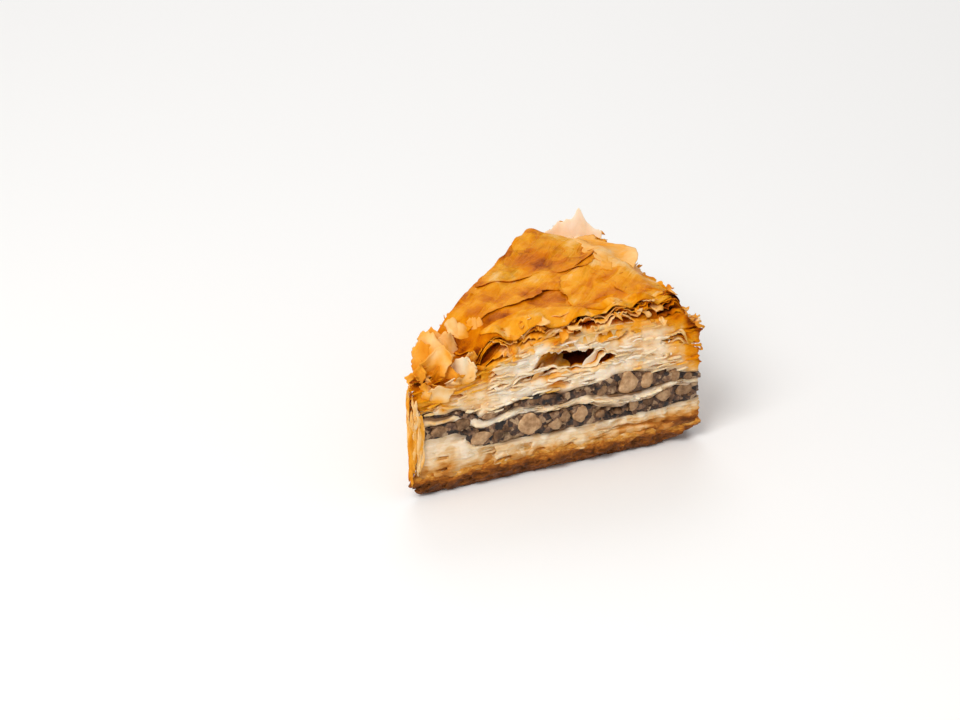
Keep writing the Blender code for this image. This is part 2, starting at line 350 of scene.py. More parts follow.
def closed_disc(rows, toast, cut=0.0):
    """Rings from one pole to the other, outwards on top and inwards below, with a point at each end."""
    count, columns = rows.shape[:2]
    start, end = rows[0].mean(axis=0), rows[-1].mean(axis=0)
    points = np.concatenate([rows.reshape(-1, 3), [start, end]])
    total = count * columns
    c = np.arange(columns)
    after = (c + 1) % columns
    none = np.full(columns, -1)
    first = np.stack([np.full(columns, total), c, after, none], axis=-1)
    last = (count - 1) * columns
    final = np.stack([last + after, last + c, np.full(columns, total + 1), none], axis=-1)
    faces = np.concatenate([grid_faces(count, columns), first, final])
    values = []
    for value in (toast, cut):
        value = np.broadcast_to(np.asarray(value, float), (count, columns))
        ends = [value[0].mean(), value[-1].mean()]
        values.append(np.concatenate([value.reshape(-1), ends]))
    return shape(points, faces, *values)


def strip_sheet(middle, thick, toast):
    """An open grid of points as a thin closed sheet: both sides along the normal, and a rim."""
    rows, columns = middle.shape[:2]
    normal = np.cross(np.gradient(middle, axis=1), np.gradient(middle, axis=0))
    normal /= np.linalg.norm(normal, axis=-1, keepdims=True) + 1e-9
    upper, lower = middle + normal * thick / 2, middle - normal * thick / 2
    points = np.concatenate([upper.reshape(-1, 3), lower.reshape(-1, 3)])
    quads = grid_faces(rows, columns, False)
    count = rows * columns
    index = np.arange(count).reshape(rows, columns)
    rim = np.concatenate([index[0], index[1:, -1], index[-1, -2::-1], index[-2:0:-1, 0]])
    after = np.roll(rim, -1)
    side = np.stack([after, rim, rim + count, after + count], axis=-1)
    faces = np.concatenate([quads[:, ::-1], quads + count, side])
    toast = np.broadcast_to(np.asarray(toast, float), (rows, columns)).reshape(-1)
    return shape(points, faces, np.concatenate([toast, toast]))


square = np.stack([*np.meshgrid(np.arange(4.0), np.arange(3.0)), np.zeros((3, 4))], axis=-1)
print("the same grid as a thin closed sheet has", len(strip_sheet(square, 0.2, 0.0)[1]), "faces")

# %% [markdown]
# ## Baked phyllo, walnut and syrup
# Phyllo is flour and water rolled thinner than paper. Raw it is cream, and butter and heat take
# it through gold to amber brown. The inside of the stack stays pale and matt, and the top is
# glazed by syrup. A ramp from cream to brown, read with the toast number plus noise, colours every
# sheet. The stack and the top share one ramp, so that neighbouring pieces match, and the fried base
# and the loose flakes have ramps of their own.


# %% Colour and node helpers
def linear(code):
    """An sRGB hex colour as the linear values that Blender's shaders take, and an alpha of 1."""
    parts = [int(code[i:i + 2], 16) / 255 for i in (1, 3, 5)]
    return (*[c / 12.92 if c <= 0.04045 else ((c + 0.055) / 1.055) ** 2.4 for c in parts], 1.0)


def fill(tree, made, sockets):
    """Give a node's sockets their values, or link them from the outputs of other nodes."""
    for key, value in sockets.items():
        if isinstance(value, bpy.types.NodeSocket):
            tree.links.new(value, made.inputs[key])
        else:
            made.inputs[key].default_value = value


def node(tree, kind, sockets=None, **settings):
    """Add one node: its properties by name, and then its sockets."""
    made = tree.nodes.new(kind)
    for key, value in settings.items():
        setattr(made, key, value)
    fill(tree, made, sockets or {})
    return made


def start_material(name):
    """An empty node material with its Principled shader wired to the output."""
    material = bpy.data.materials.new(name)
    material.use_nodes = True
    return material, material.node_tree, material.node_tree.nodes["Principled BSDF"]


def set_ramp(ramp_node, stops):
    """Colour stops of a ramp, as (position, hex) pairs from low to high."""
    elements = ramp_node.color_ramp.elements
    while len(elements) < len(stops):
        elements.new(0.5)
    for element, (position, code) in zip(elements, stops):
        element.position = position
        element.color = linear(code)


print("mid grey as a linear value:", round(linear("#808080")[0], 3))

# %% What heat makes of the dough
# Toast 0 is baked but still cream, 0.5 is golden, and 1 is burnt brown.
PHYLLO_TONES = (
    (0.00, "#fbead4"),
    (0.18, "#f6d8b0"),
    (0.36, "#f0bb74"),
    (0.50, "#eca02a"),
    (0.62, "#e18a08"),
    (0.76, "#c86a02"),
    (0.90, "#8e3e05"),
    (1.00, "#561f05"),
)
# The lowest sheets fried in butter against the tray: duller and browner than the open top.
FRIED_TONES = (
    (0.00, "#f8e6cc"),
    (0.25, "#ebcb9e"),
    (0.45, "#dca560"),
    (0.62, "#c67f32"),
    (0.80, "#91501c"),
    (1.00, "#57290f"),
)
# A single dry sheet lets light through, so it looks yellower than the same sheet in the stack.
FLAKE_TONES = (
    (0.00, "#fceedb"),
    (0.18, "#f8deb6"),
    (0.36, "#f3c17c"),
    (0.50, "#eda134"),
    (0.70, "#d87e09"),
    (1.00, "#8e3e05"),
)
WALNUT_STAIN = "#7d5c40"
WARM_SHINE = "#ffc873"  # butter and syrup colour what they reflect
print("stops in the three ramps:", [len(tones) for tones in (PHYLLO_TONES, FRIED_TONES, FLAKE_TONES)])


# %% One recipe for every sheet of phyllo
def phyllo(name, patch_mm, patch_strength, grain, glaze, rough_low, rough_high, depth_mm,
           tones=PHYLLO_TONES, streak=0.0, inner_light=0.4, layered=1.0):
    """Baked pastry: toast plus four patterns through the ramp, gloss and a fine crumpled bump.

    patch_mm is the width of the crisp-edged blisters, grain the strength of the fine speckle, glaze
    how strongly the syrup and butter shine, and depth_mm how far light travels inside the sheet.
    Where a sheet touches walnut, its cut number says how far it is stained brown. Streak is the
    strength of the long wrinkles that run parallel to the diagonal cut on the open top, and
    inner_light the share of light that enters the sheet, less for single thin ones. Layered draws
    the speckle and the dents out along the sheets, for edges where many are stuck together.
    """
    material, tree, shader = start_material(name)
    place = node(tree, "ShaderNodeTexCoord").outputs["Object"]
    toast = node(tree, "ShaderNodeAttribute", attribute_name="toast").outputs["Fac"]
    stain = node(tree, "ShaderNodeAttribute", attribute_name="cut").outputs["Fac"]

    # Patches 7 mm wide, and a speckle of about 1 mm, which is coarser than real flour so that it shows.
    wide = node(tree, "ShaderNodeTexNoise", {"Vector": place, "Scale": 1 / 0.007, "Detail": 3.0})
    along_sheets = {"Vector": place, "Scale": (1 / layered, 1 / layered, layered)}
    drawn = node(tree, "ShaderNodeMapping", along_sheets).outputs[0]
    speckle = {"Vector": drawn, "Scale": 1 / 0.0011, "Detail": 4.0, "Roughness": 0.65}
    fine = node(tree, "ShaderNodeTexNoise", speckle)

    # Blisters: one random number for each cell, with the cell walls bent by the wide noise.
    bend_by = {0: wide.outputs["Color"], "Scale": patch_mm * MM * 0.9}
    bent = node(tree, "ShaderNodeVectorMath", bend_by, operation="SCALE").outputs[0]
    moved = node(tree, "ShaderNodeVectorMath", {0: place, 1: bent}, operation="ADD").outputs[0]
    cells = node(tree, "ShaderNodeTexVoronoi", {"Vector": moved, "Scale": 1 / (patch_mm * MM)})
    cell = node(tree, "ShaderNodeSeparateColor", {"Color": cells.outputs["Color"]}).outputs[0]

    # Wrinkles: noise turned to the diagonal cut and drawn out to 4.5 times its width.
    along_cut_lines = {"Vector": place, "Rotation": (0.0, 0.0, CUT_ANGLE), "Scale": (4.5, 1.0, 1.0)}
    turned = node(tree, "ShaderNodeMapping", along_cut_lines, vector_type="TEXTURE").outputs[0]
    wrinkle = {"Vector": turned, "Scale": 1 / 0.0035, "Detail": 4.0, "Distortion": 0.7}
    lines = node(tree, "ShaderNodeTexNoise", wrinkle)

    # Every pattern is centred on 0 and added to the toast at its own strength.
    total = toast
    for source, strength in ((wide.outputs["Fac"], 0.34), (fine.outputs["Fac"], grain),
                             (cell, patch_strength), (lines.outputs["Fac"], streak)):
        off = node(tree, "ShaderNodeMath", {0: source, 1: 0.5}, operation="SUBTRACT").outputs[0]
        scaled = {0: off, 1: strength, 2: total}
        total = node(tree, "ShaderNodeMath", scaled, operation="MULTIPLY_ADD").outputs[0]
    tone = node(tree, "ShaderNodeValToRGB", {"Fac": total})
    set_ramp(tone, tones)
    stained = {"Factor": stain, 6: tone.outputs["Color"], 7: linear(WALNUT_STAIN)}
    tone = node(tree, "ShaderNodeMix", stained, data_type="RGBA").outputs[2]

    spread = {"Value": fine.outputs["Fac"], "From Min": 0.3, "From Max": 0.7,
              "To Min": rough_low, "To Max": rough_high}
    gloss = node(tree, "ShaderNodeMapRange", spread)
    crumpled = {"Vector": drawn, "Scale": 1 / 0.0022, "Detail": 5.0, "Roughness": 0.6}
    dents = node(tree, "ShaderNodeTexNoise", crumpled).outputs["Fac"]
    relief = node(tree, "ShaderNodeBump", {"Strength": 0.45, "Distance": 0.0003, "Height": dents})
    wrinkled = {"Strength": min(1.0, 1.6 * streak), "Distance": 0.0012,
                "Height": lines.outputs["Fac"], "Normal": relief.outputs["Normal"]}
    relief = node(tree, "ShaderNodeBump", wrinkled)
    fill(tree, shader, {
        "Base Color": tone,
        "Roughness": gloss.outputs["Result"],
        "Normal": relief.outputs["Normal"],
        "IOR": 1.45,
        "Specular IOR Level": glaze,
        "Specular Tint": linear(WARM_SHINE),
        "Subsurface Weight": inner_light,
        "Subsurface Radius": (1.0, 0.7, 0.45),
        "Subsurface Scale": depth_mm * MM,
    })
    return material


# The glazed top: buttered and baked, then soaked, so it is glossy in patches and blistered.
GLAZED_TOP = phyllo("phyllo_syrup_glazed", patch_mm=6.0, patch_strength=0.16, grain=0.16, glaze=0.04,
                    rough_low=0.28, rough_high=0.48, depth_mm=0.3, streak=0.55, inner_light=0.2)
# Cut edges inside the stack: torn by the knife, so matt, fuzzy and pale.
CUT_EDGES = phyllo("phyllo_cut_edges", patch_mm=2.5, patch_strength=0.10, grain=0.30, glaze=0.10,
                   rough_low=0.50, rough_high=0.80, depth_mm=0.9, layered=1.5)
# The crisp golden sheets near the top: drier and thinner, so little light goes in.
GOLDEN_EDGES = phyllo("phyllo_golden_edges", patch_mm=2.5, patch_strength=0.12, grain=0.28, glaze=0.08,
                      rough_low=0.45, rough_high=0.70, depth_mm=0.4, inner_light=0.12)
# The same edges in the base, greasy and browner.
BASE_EDGES = phyllo("phyllo_base_edges", patch_mm=2.0, patch_strength=0.18, grain=0.50, glaze=0.15,
                    rough_low=0.42, rough_high=0.70, depth_mm=0.9, tones=FRIED_TONES, layered=2.2)
# Loose flakes: a single dry sheet that light comes through.
LOOSE_FLAKES = phyllo("phyllo_dry_flake", patch_mm=5.0, patch_strength=0.08, grain=0.12, glaze=0.10,
                      rough_low=0.35, rough_high=0.60, depth_mm=0.3, tones=FLAKE_TONES, inner_light=0.1)
print("phyllo:", [m.name for m in (GLAZED_TOP, CUT_EDGES, GOLDEN_EDGES, BASE_EDGES, LOOSE_FLAKES)])

# %% [markdown]
# ## Finishes of the filling and the crust
# Walnut has two colours: a waxy tan kernel and a thin dark skin. Mottled noise runs through both
# ramps, and the cut number chooses between them, so a sliced nut keeps its skin as a dark rim. The
# paste is the same walnut ground up in syrup, with cells for its crumbs. The crust is phyllo that
# has fried to a hard granular brown, so it has a ramp and a grit of its own.

# %% Chopped walnut
# The broken kernel is a pale waxy tan, and the skin is dark brown and papery.
WALNUT, tree, shader = start_material("walnut_chopped")
place = node(tree, "ShaderNodeTexCoord").outputs["Object"]
sliced = node(tree, "ShaderNodeAttribute", attribute_name="cut").outputs["Fac"]
fresh = node(tree, "ShaderNodeAttribute", attribute_name="toast").outputs["Fac"]
mottled = {"Vector": place, "Scale": 1 / 0.0016, "Detail": 5.0, "Roughness": 0.6}
mottle = node(tree, "ShaderNodeTexNoise", mottled).outputs["Fac"]
skin = node(tree, "ShaderNodeValToRGB", {"Fac": mottle})
set_ramp(skin, ((0.38, "#2a150a"), (0.52, "#573720"), (0.68, "#8a6442")))
kernel = node(tree, "ShaderNodeValToRGB", {"Fac": mottle})
set_ramp(kernel, ((0.34, "#97704b"), (0.50, "#b99168"), (0.66, "#d3af86")))
pale = node(tree, "ShaderNodeMath", {0: sliced, 1: fresh}, operation="MULTIPLY").outputs[0]
skin_to_kernel = {"Factor": pale, 6: skin.outputs["Color"], 7: kernel.outputs["Color"]}
tone = node(tree, "ShaderNodeMix", skin_to_kernel, data_type="RGBA").outputs[2]
relief = node(tree, "ShaderNodeBump", {"Strength": 0.35, "Distance": 0.0004, "Height": mottle})
fill(tree, shader, {
    "Base Color": tone,
    "Normal": relief.outputs["Normal"],
    "Roughness": 0.48,
    "IOR": 1.47,
    "Specular IOR Level": 0.25,
    "Subsurface Weight": 0.3,
    "Subsurface Radius": (1.0, 0.6, 0.35),
    "Subsurface Scale": 0.001,
})
print("made", WALNUT.name)

# %% Walnut paste
# Ground walnut and syrup: dark and moist, with paler crumbs of kernel 1.3 mm wide in it.
PASTE, tree, shader = start_material("walnut_paste")
place = node(tree, "ShaderNodeTexCoord").outputs["Object"]
crumbs = node(tree, "ShaderNodeTexVoronoi", {"Vector": place, "Scale": 1 / 0.0013})
crumb = node(tree, "ShaderNodeSeparateColor", {"Color": crumbs.outputs["Color"]}).outputs[0]
mottled = {"Vector": place, "Scale": 1 / 0.002, "Detail": 6.0, "Roughness": 0.7}
mottle = node(tree, "ShaderNodeTexNoise", mottled).outputs["Fac"]
both = node(tree, "ShaderNodeMath", {0: crumb, 1: 0.45, 2: mottle}, operation="MULTIPLY_ADD").outputs[0]
tone = node(tree, "ShaderNodeValToRGB", {"Fac": both})
set_ramp(tone, ((0.52, "#170a05"), (0.66, "#4a2e1b"), (0.82, "#7f5a3c"), (0.98, "#b3936f")))
relief = node(tree, "ShaderNodeBump", {"Strength": 0.8, "Distance": 0.0004, "Height": both})
fill(tree, shader, {
    "Base Color": tone.outputs["Color"],
    "Normal": relief.outputs["Normal"],
    "Roughness": 0.5,
    "IOR": 1.45,
    "Coat Weight": 0.15,
    "Coat Roughness": 0.3,
})
print("made", PASTE.name)

# %% Bottom crust
# Sheets fried in the buttered tray and stuck together by boiling syrup: a hard gritty brown.
CRUST, tree, shader = start_material("phyllo_base_crust")
place = node(tree, "ShaderNodeTexCoord").outputs["Object"]
toast = node(tree, "ShaderNodeAttribute", attribute_name="toast").outputs["Fac"]
along_sheets = {"Vector": place, "Scale": (0.55, 0.55, 1.6)}
drawn = node(tree, "ShaderNodeMapping", along_sheets).outputs[0]
gritty = {"Vector": drawn, "Scale": 1 / 0.0014, "Detail": 6.0, "Roughness": 0.7}
grit = node(tree, "ShaderNodeTexNoise", gritty).outputs["Fac"]
both = node(tree, "ShaderNodeMath", {0: grit, 1: 0.5}, operation="SUBTRACT").outputs[0]
both = node(tree, "ShaderNodeMath", {0: both, 1: 1.3, 2: toast}, operation="MULTIPLY_ADD").outputs[0]
tone = node(tree, "ShaderNodeValToRGB", {"Fac": both})
set_ramp(tone, ((0.10, "#e3c79a"), (0.33, "#d6963f"), (0.54, "#a8611f"), (0.76, "#74401a"), (1.0, "#42210b")))
relief = node(tree, "ShaderNodeBump", {"Strength": 0.8, "Distance": 0.0004, "Height": grit})
fill(tree, shader, {
    "Base Color": tone.outputs["Color"],
    "Normal": relief.outputs["Normal"],
    "Roughness": 0.42,
    "IOR": 1.45,
    "Specular IOR Level": 0.25,
    "Specular Tint": linear("#ffcf90"),
    "Subsurface Weight": 0.2,
    "Subsurface Radius": (1.0, 0.5, 0.2),
    "Subsurface Scale": 0.001,
})
print("made", CRUST.name)

# %% [markdown]
# ## The base crust
# The lowest sheets soaked in butter and syrup and fried against the tray, so they are one brown
# granular mass, and single sheets only show towards its top. A lathe-like body works: rings over
# the underside, up the wall and in across the top, with the wall pushed in and out by grit.

# %% Base crust
CRUST_TOP = 5.2
CURL = 2.08  # how far the right-angled corner of the bottom curled up, in mm


def corner_curl():
    """How far the bottom rim lifts, round the outline: only at the right-angled corner."""
    return CURL * bump(THETA, math.radians(-45), 0.15)


def crust_rows():
    """Rings close to the table, a rounded and gritty wall, and a top that is hidden by sheets."""
    rows, toast = [], []
    for inset in (20.5, 19, 17, 15, 13, 11, 9, 7.5, 6, 5, 4, 3.2, 2.4):
        x, y = at_inset(inset)
        z = 0.12 + 0.12 * rough(x, y, 0.0, 2.2, 3, 5) + corner_curl() * ramp(inset, 6.0, 2.0)
        rows.append(np.stack([x, y, np.maximum(z, 0.0)], axis=-1))
        toast.append(0.86 + 0.1 * rough(x, y, 0.0, 9.0, 2, 6))
    x, y = at_inset(0.0)
    uneven = 0.25 + 0.55 * noise(x, y, 0.0, 6.0, 3) + 0.35 * noise(x, y, 0.0, 1.8, 4)
    foot, high = corner_curl() + 0.25, CRUST_TOP + np.maximum(uneven, -0.5)
    for share in np.linspace(0.0, 1.0, 17):
        inset = 1.5 * (1 - share) ** 2.4 + 0.25 + 0.40 * share**6
        x, y = at_inset(inset)
        z = foot + (high - foot) * share
        grit = 0.75 * rough(x, y, z, 2.6, 4, 7, 0.6) + 0.35 * ridged(x, y, z * 2.2, 1.6, 8)
        inset = inset - grit * (0.35 + 0.65 * math.sin(math.pi * min(share + 0.1, 1.0)))
        x, y = at_inset(inset)
        rows.append(np.stack([x, y, z + 0.15 * rough(x, y, z, 1.1, 2, 9)], axis=-1))
        toast.append(0.80 - 0.42 * ramp(z, 2.6, 5.4) + 0.12 * noise(x, y, z, 4.0, 10))
    for inset in (2.5, 5.0, 8.0):
        x, y = at_inset(inset)
        rows.append(np.stack([x, y, high], axis=-1))
        toast.append(np.full_like(x, 0.4))
    # The body runs from the underside up, so its rings are turned round to face outwards.
    return np.stack(rows)[::-1], np.stack(toast)[::-1]


make_piece("base_crust", [closed_disc(*crust_rows())], CRUST, ["base_pastry"])

# %% [markdown]
# ## Sheets seen edge-on
# Each sheet that shows at the cut faces is a closed band: it follows the outline, starts at a
# ragged edge and runs a few millimetres in, where the stack hides it. Its edge is torn a little
# differently from its neighbours', and where the stack has come apart the sheets above and below
# bend away from each other and leave a dark lens of air.


# %% Where the stack has opened
def station(face, x, y):
    """Distance along a cut face from its left-hand end, as the front, side or diagonal is read."""
    return (along_front(x), y + INRADIUS, along_cut(x, y))[face]


# face, middle, half length, level in the stack from 0 to 1, rise above, drop below, depth in mm
OPENINGS = (
    (FRONT, 41.0, 9.2, 0.42, 3.9, 0.4, 7.0),
    (FRONT, 32.0, 5.5, 0.33, 1.4, 0.2, 3.0),
    (FRONT, 51.0, 2.4, 0.36, 1.6, 0.2, 4.0),
    (FRONT, 49.5, 7.0, 0.80, 1.3, 0.2, 4.0),
    (FRONT, 38.3, 3.0, 0.16, 0.9, 0.1, 3.5),
    (FRONT, 68.5, 3.5, 0.62, 0.8, 0.3, 3.0),
    (FRONT, 12.5, 6.0, 0.88, 1.2, 0.3, 4.0),
    (SIDE, 24.0, 11.0, 0.42, 1.6, 0.4, 6.0),
    (SIDE, 49.0, 8.0, 0.66, 1.0, 0.3, 5.0),
    (CUT, 30.0, 12.0, 0.38, 1.8, 0.5, 6.0),
    (CUT, 62.0, 15.0, 0.58, 2.6, 0.4, 6.5),
    (CUT, 83.0, 8.0, 0.25, 1.1, 0.3, 5.0),
)


def painted_opening_shade(x, y, level):
    """Painted shade: extra brown in the lenses, on the sheets next to the air, where it is deep and unlit."""
    painted_shade = 0.0
    for face, middle, half, opened, up, down, depth in OPENINGS:
        lens = np.clip(1.2 - ((station(face, x, y) - middle) / half) ** 2, 0.0, 1.0)
        near = ramp(insets(x, y)[face], depth + 3.0, depth) * bump(level, opened, 0.09)
        painted_shade = painted_shade + min(1.0, 0.4 * (up + down)) * lens * near
    return painted_shade


def parting(x, y, level):
    """How far a sheet at a level moves where the stack opens: a lens along the face, fading inwards."""
    move = 0.0
    for face, middle, half, opened, up, down, depth in OPENINGS:
        lens = np.sqrt(np.clip(1.0 - ((station(face, x, y) - middle) / half) ** 2, 0.0, 1.0))
        inside = ramp(insets(x, y)[face], depth, 0.5 * depth)
        if level > opened:
            move = move + up * (1.0 - level) / (1.0 - opened) * lens * inside
        else:
            move = move - down * level / opened * lens * inside
    return move


print("places where the stack has opened:", len(OPENINGS))

# %% One sheet as a band
DEPTHS = np.array([0.0, 0.12, 0.4, 0.9, 1.8, 3.6, 7.5])[:, None]  # rows inwards from the torn edge
SPREAD = INRADIUS / RIM  # turns a radial distance into an inset, so that corners aren't over-torn


def bend(x, y, z):
    """Slow up and down bending that neighbouring sheets share, and arches at the right-hand corner."""
    arch = 1.5 * bump(along_front(x), 69.5, 2.4) * ramp(z, 20.0, 26.0) * ramp(insets(x, y)[FRONT], 7.0, 3.0)
    return 0.50 * noise(x, y, z * 1.4, 5.5, 61) + 0.28 * noise(x, y, z * 1.6, 2.3, 62) + arch


def bulge(x, y, z):
    """Slow in and out of the cut face: the knife dragged some parts in and left others standing."""
    return (0.50 * noise(x, y, z, 4.6, 63) + 0.30 * noise(x, y, z * 1.5, 1.9, 64)) * SPREAD ** 0.5


def calm(x, y, z):
    """1 in the stretches where the cut is smooth and fused, 0 where single sheets stand out."""
    return ramp(noise(x * 0.6, y * 0.6, z, 4.5, 65) + 0.35 * noise(x, y, z, 2.5, 66), -0.45, 0.25)


def ring_sheet(height, edge, thick, toast, uneven, seed, stain=0.0):
    """A band from its ragged edge inwards: upper side out to the edge, then the underside back in.

    The edge is rounded, and uneven makes the sheet swell and thin along its length, so that it
    fuses with its neighbours in some places and parts from them in others.
    """
    inset = edge + DEPTHS
    x, y = at_inset(inset)
    middle = height(x, y, inset)
    middle = middle + bend(x, y, middle)
    moved = (bulge(x[0], y[0], middle[0]) + 0.65 * calm(x[0], y[0], middle[0])) * np.exp(-DEPTHS / 2.0)
    x, y = at_inset(inset + moved)
    swell = 1.0 + uneven * (noise(x, y, 0.0, 4.5, seed + 11) + 0.7 * noise(x, y, 0.0, 1.3, seed + 12))
    half = 0.5 * thick * np.maximum(swell, 0.2) * (0.3 + 0.7 * round_edge(DEPTHS, 0.5))
    upper = np.stack([x, y, middle + half], axis=-1)
    lower = np.stack([x, y, middle - half], axis=-1)
    toast = np.broadcast_to(toast, x.shape)
    return closed_band(np.concatenate([upper[::-1], lower]), np.concatenate([toast[::-1], toast]), stain)


def torn_edge(base, coarse, fine, seed):
    """Inset of a torn edge: the base plus slow waves, teeth about 1 mm wide, and single fibres."""
    x, y = at_inset(0.0)
    waves = coarse * noise(x, y, 0.0, 6.0, seed) + 0.6 * coarse * noise(x, y, 0.0, 2.4, seed + 1)
    teeth = fine * noise(x, y, 0.0, 0.9, seed + 2) + 0.5 * fine * noise(x, y, 0.0, 0.4, seed + 3)
    return base + (waves + teeth) * SPREAD ** 0.5


print("a band has", 2 * len(DEPTHS), "rows of", COLUMNS, "points")

# %% [markdown]
# ## Browning from place to place
# The middle of the stack never browns. Its upper quarter, its corners and the thin side next to
# the sharp corner dried out in the oven and are tan. The toast number says this once, for any
# sheet, from its place and its level.


# %% Toast of the inner sheets
def inner_toast(x, y, level, seed):
    """Cream in the middle, tan towards the top, the corners and the sharp front corner."""
    s = along_front(x)
    toast = 0.13 + 0.30 * ramp(level, 0.70, 1.0)
    toast = toast + 0.36 * ramp(s, 28.0, 9.0) * ramp(level, -0.2, 0.4)
    toast = toast + 0.22 * ramp(from_sharp_corner(x, y), 7.0, 2.0)
    right = np.hypot(x - INRADIUS, y + INRADIUS)
    back = np.hypot(x - INRADIUS, y - SIDE_LEG + INRADIUS)
    toast = toast + 0.50 * ramp(right, 16.0, 1.0) * ramp(level, -0.1, 0.4)
    toast = toast + 0.24 * ramp(back, 12.0, 3.0)
    return toast + 0.14 * noise(x, y, 3.1 * seed, 5.0, seed) + 0.10 * noise(x, y, 3.1 * seed, 1.6, seed + 1)


def syrup_and_gap_shade():
    """Extra brown on the hidden part of a sheet, growing inwards: partly where the syrup stayed, partly
    painted shade in the gaps.
    """
    return 0.42 * ramp(DEPTHS, 0.35, 2.6)


def stack_levels(count, seed):
    """Levels from 0 to 1 with uneven gaps, because sheets bunch together."""
    steps = 1.0 + 0.45 * np.random.default_rng(seed).uniform(-1, 1, count + 1)
    return (np.cumsum(steps) / steps.sum())[:-1]


halfway = inner_toast(*at_inset(0.5), 0.5, 0)
print("toast halfway up runs from", round(float(halfway.min()), 2), "to", round(float(halfway.max()), 2))

# %% [markdown]
# ## Base, middle and inner sheets
# The three runs of pastry differ only in the surfaces that they lie between, how brown they are
# and how finely they tore. So one function takes a level between two surfaces and makes a sheet
# there, and each run calls it with its own numbers. A real sheet is thinner than 0.2 mm, and syrup
# sticks a few together, so a band here is a little thicker than one.

# %% Base sheets, middle sheets and the pale inner stack
BASE_SHEETS, MIDDLE_SHEETS, INNER_SHEETS = 6, 5, 16
BASE_BAND, MIDDLE_BAND, INNER_BAND = 0.55, 0.34, 0.50  # thickness of a band in mm


def between(lower, upper, level, seed, wave):
    """Height of a sheet at a level between two surfaces, with small waves of its own."""
    def height(x, y, inset):
        low, high = lower(x, y), upper(x, y, inset)
        own = wave * noise(x, y, 5.0 * level, 4.0, seed)
        own = own + 0.7 * wave * noise(x, y, 9.0 * level, 1.5, seed + 1)
        own = own + 0.25 * wave * noise(x, y, 0.0, 0.5, seed + 2)
        return low + (high - low) * level + own

    return height


def base_toast(level, x, y):
    """Orange-brown at the crust, cream at the walnut, browner again at the right-hand corner."""
    corner = 0.36 * ramp(along_front(x), 54.0, 72.0) * ramp(level, 0.95, 0.4)
    toast = 0.58 - 0.42 * ramp(level, 0.0, 0.65) + 0.16 * noise(x, y, 7.0 * level, 4.0, 31)
    return toast + 0.12 * noise(x, y, 5.0 * level, 1.4, 32) + corner


def middle_toast(level, x, y):
    """Pale all through, and browner towards the sharp corner."""
    return 0.10 + 0.14 * noise(x, y, 7.0 * level, 4.0, 33) + 0.2 * ramp(along_front(x), 18.0, 6.0)


def base_sheet(level, seed):
    """A sheet between the crust and the lower walnut, greasier and browner lower down."""
    height = between(lambda x, y: CRUST_TOP - 0.6, lambda x, y, inset: layer_1(x, y), level, seed, 0.3)
    toast = base_toast(level, *at_inset(0.5 + DEPTHS)) + syrup_and_gap_shade()
    edge, stain = torn_edge(0.7, 0.70, 0.22, seed), 0.08 + 0.4 * ramp(level, 0.75, 1.0)
    return ring_sheet(height, edge, BASE_BAND, toast, 0.8, seed, stain)


def middle_sheet(level, seed):
    """A sheet between the two walnut beds, pale all through."""
    height = between(layer_2, lambda x, y, inset: layer_3(x, y), level, seed, 0.12)
    toast = middle_toast(level, *at_inset(0.5 + DEPTHS)) + syrup_and_gap_shade()
    # The walnut stain near both beds is set stronger than the real stain, as painted shade between them.
    edge, stain = torn_edge(0.45, 0.80, 0.40, seed), 0.7 * ramp(abs(level - 0.5), 0.15, 0.4)
    return ring_sheet(height, edge, MIDDLE_BAND, toast, 0.9, seed, stain)


def inner_top(x, y, inset):
    """Top of the pale stack: the wall, rising a little inwards, and always under the dome."""
    rising = WALL - 0.5 + 3.0 * (1.0 - np.exp(-np.maximum(inset, 0.0) / 4.0))
    return np.minimum(rising, dome(x, y) - 0.5 - 2.6 * ramp(inset, 0.0, 3.0))


def inner_sheet(level, seed):
    """A sheet of the pale stack above the upper walnut, parted where the stack opened."""
    flat = between(layer_4, inner_top, level, seed, 0.30)

    def height(x, y, inset):
        return flat(x, y, inset) + parting(x, y, level)

    x, y = at_inset(0.5 + DEPTHS)
    toast = inner_toast(x, y, level, seed) + syrup_and_gap_shade()
    # Painted shade: the sheets next to an opening are browned where they run in, out of the light.
    toast = toast + 0.7 * painted_opening_shade(x, y, level) * ramp(DEPTHS, 0.3, 2.0)
    edge, stain = torn_edge(0.75, 0.75, 0.20, seed), 0.6 * ramp(level, 0.09, 0.0)
    return ring_sheet(height, edge, INNER_BAND, toast, 0.8, seed, stain)


base_sheets = [base_sheet(v, 100 + 4 * i) for i, v in enumerate(stack_levels(BASE_SHEETS, 1))]
make_piece("base_sheets", base_sheets, BASE_EDGES, ["base_pastry"])
middle_sheets = [middle_sheet(v, 200 + 4 * i) for i, v in enumerate(stack_levels(MIDDLE_SHEETS, 2))]
make_piece("middle_sheets", middle_sheets, CUT_EDGES, ["middle_pastry"])
inner_sheets = [inner_sheet(v, 300 + 4 * i) for i, v in enumerate(stack_levels(INNER_SHEETS, 3))]
for name, sheets in (("inner_sheets_1", inner_sheets[:8]), ("inner_sheets_2", inner_sheets[8:])):
    make_piece(name, sheets, CUT_EDGES, ["top_pastry"])


# %% [markdown]
# ## The fused faces
# Between the single edges the sheets have stuck together into a crumbly wall of short strands, as
# in the cut face of any puff pastry. Making every strand is needless: one closed band a little
# behind the edges, with many rows, is pushed in and out by noise that is far longer than it is
# high. Where the stack has opened, the wall draws back as well.


# %% The fused faces
def opened_depth(x, y, level):
    """How far the fused face draws in at a level, because the stack is open there."""
    depth = 0.0
    for face, middle, half, opened, up, down, deep in OPENINGS:
        lens = np.sqrt(np.clip(1.0 - ((station(face, x, y) - middle) / half) ** 2, 0.0, 1.0))
        depth = depth + 0.8 * deep * lens * bump(level, opened, 0.035)
    return depth


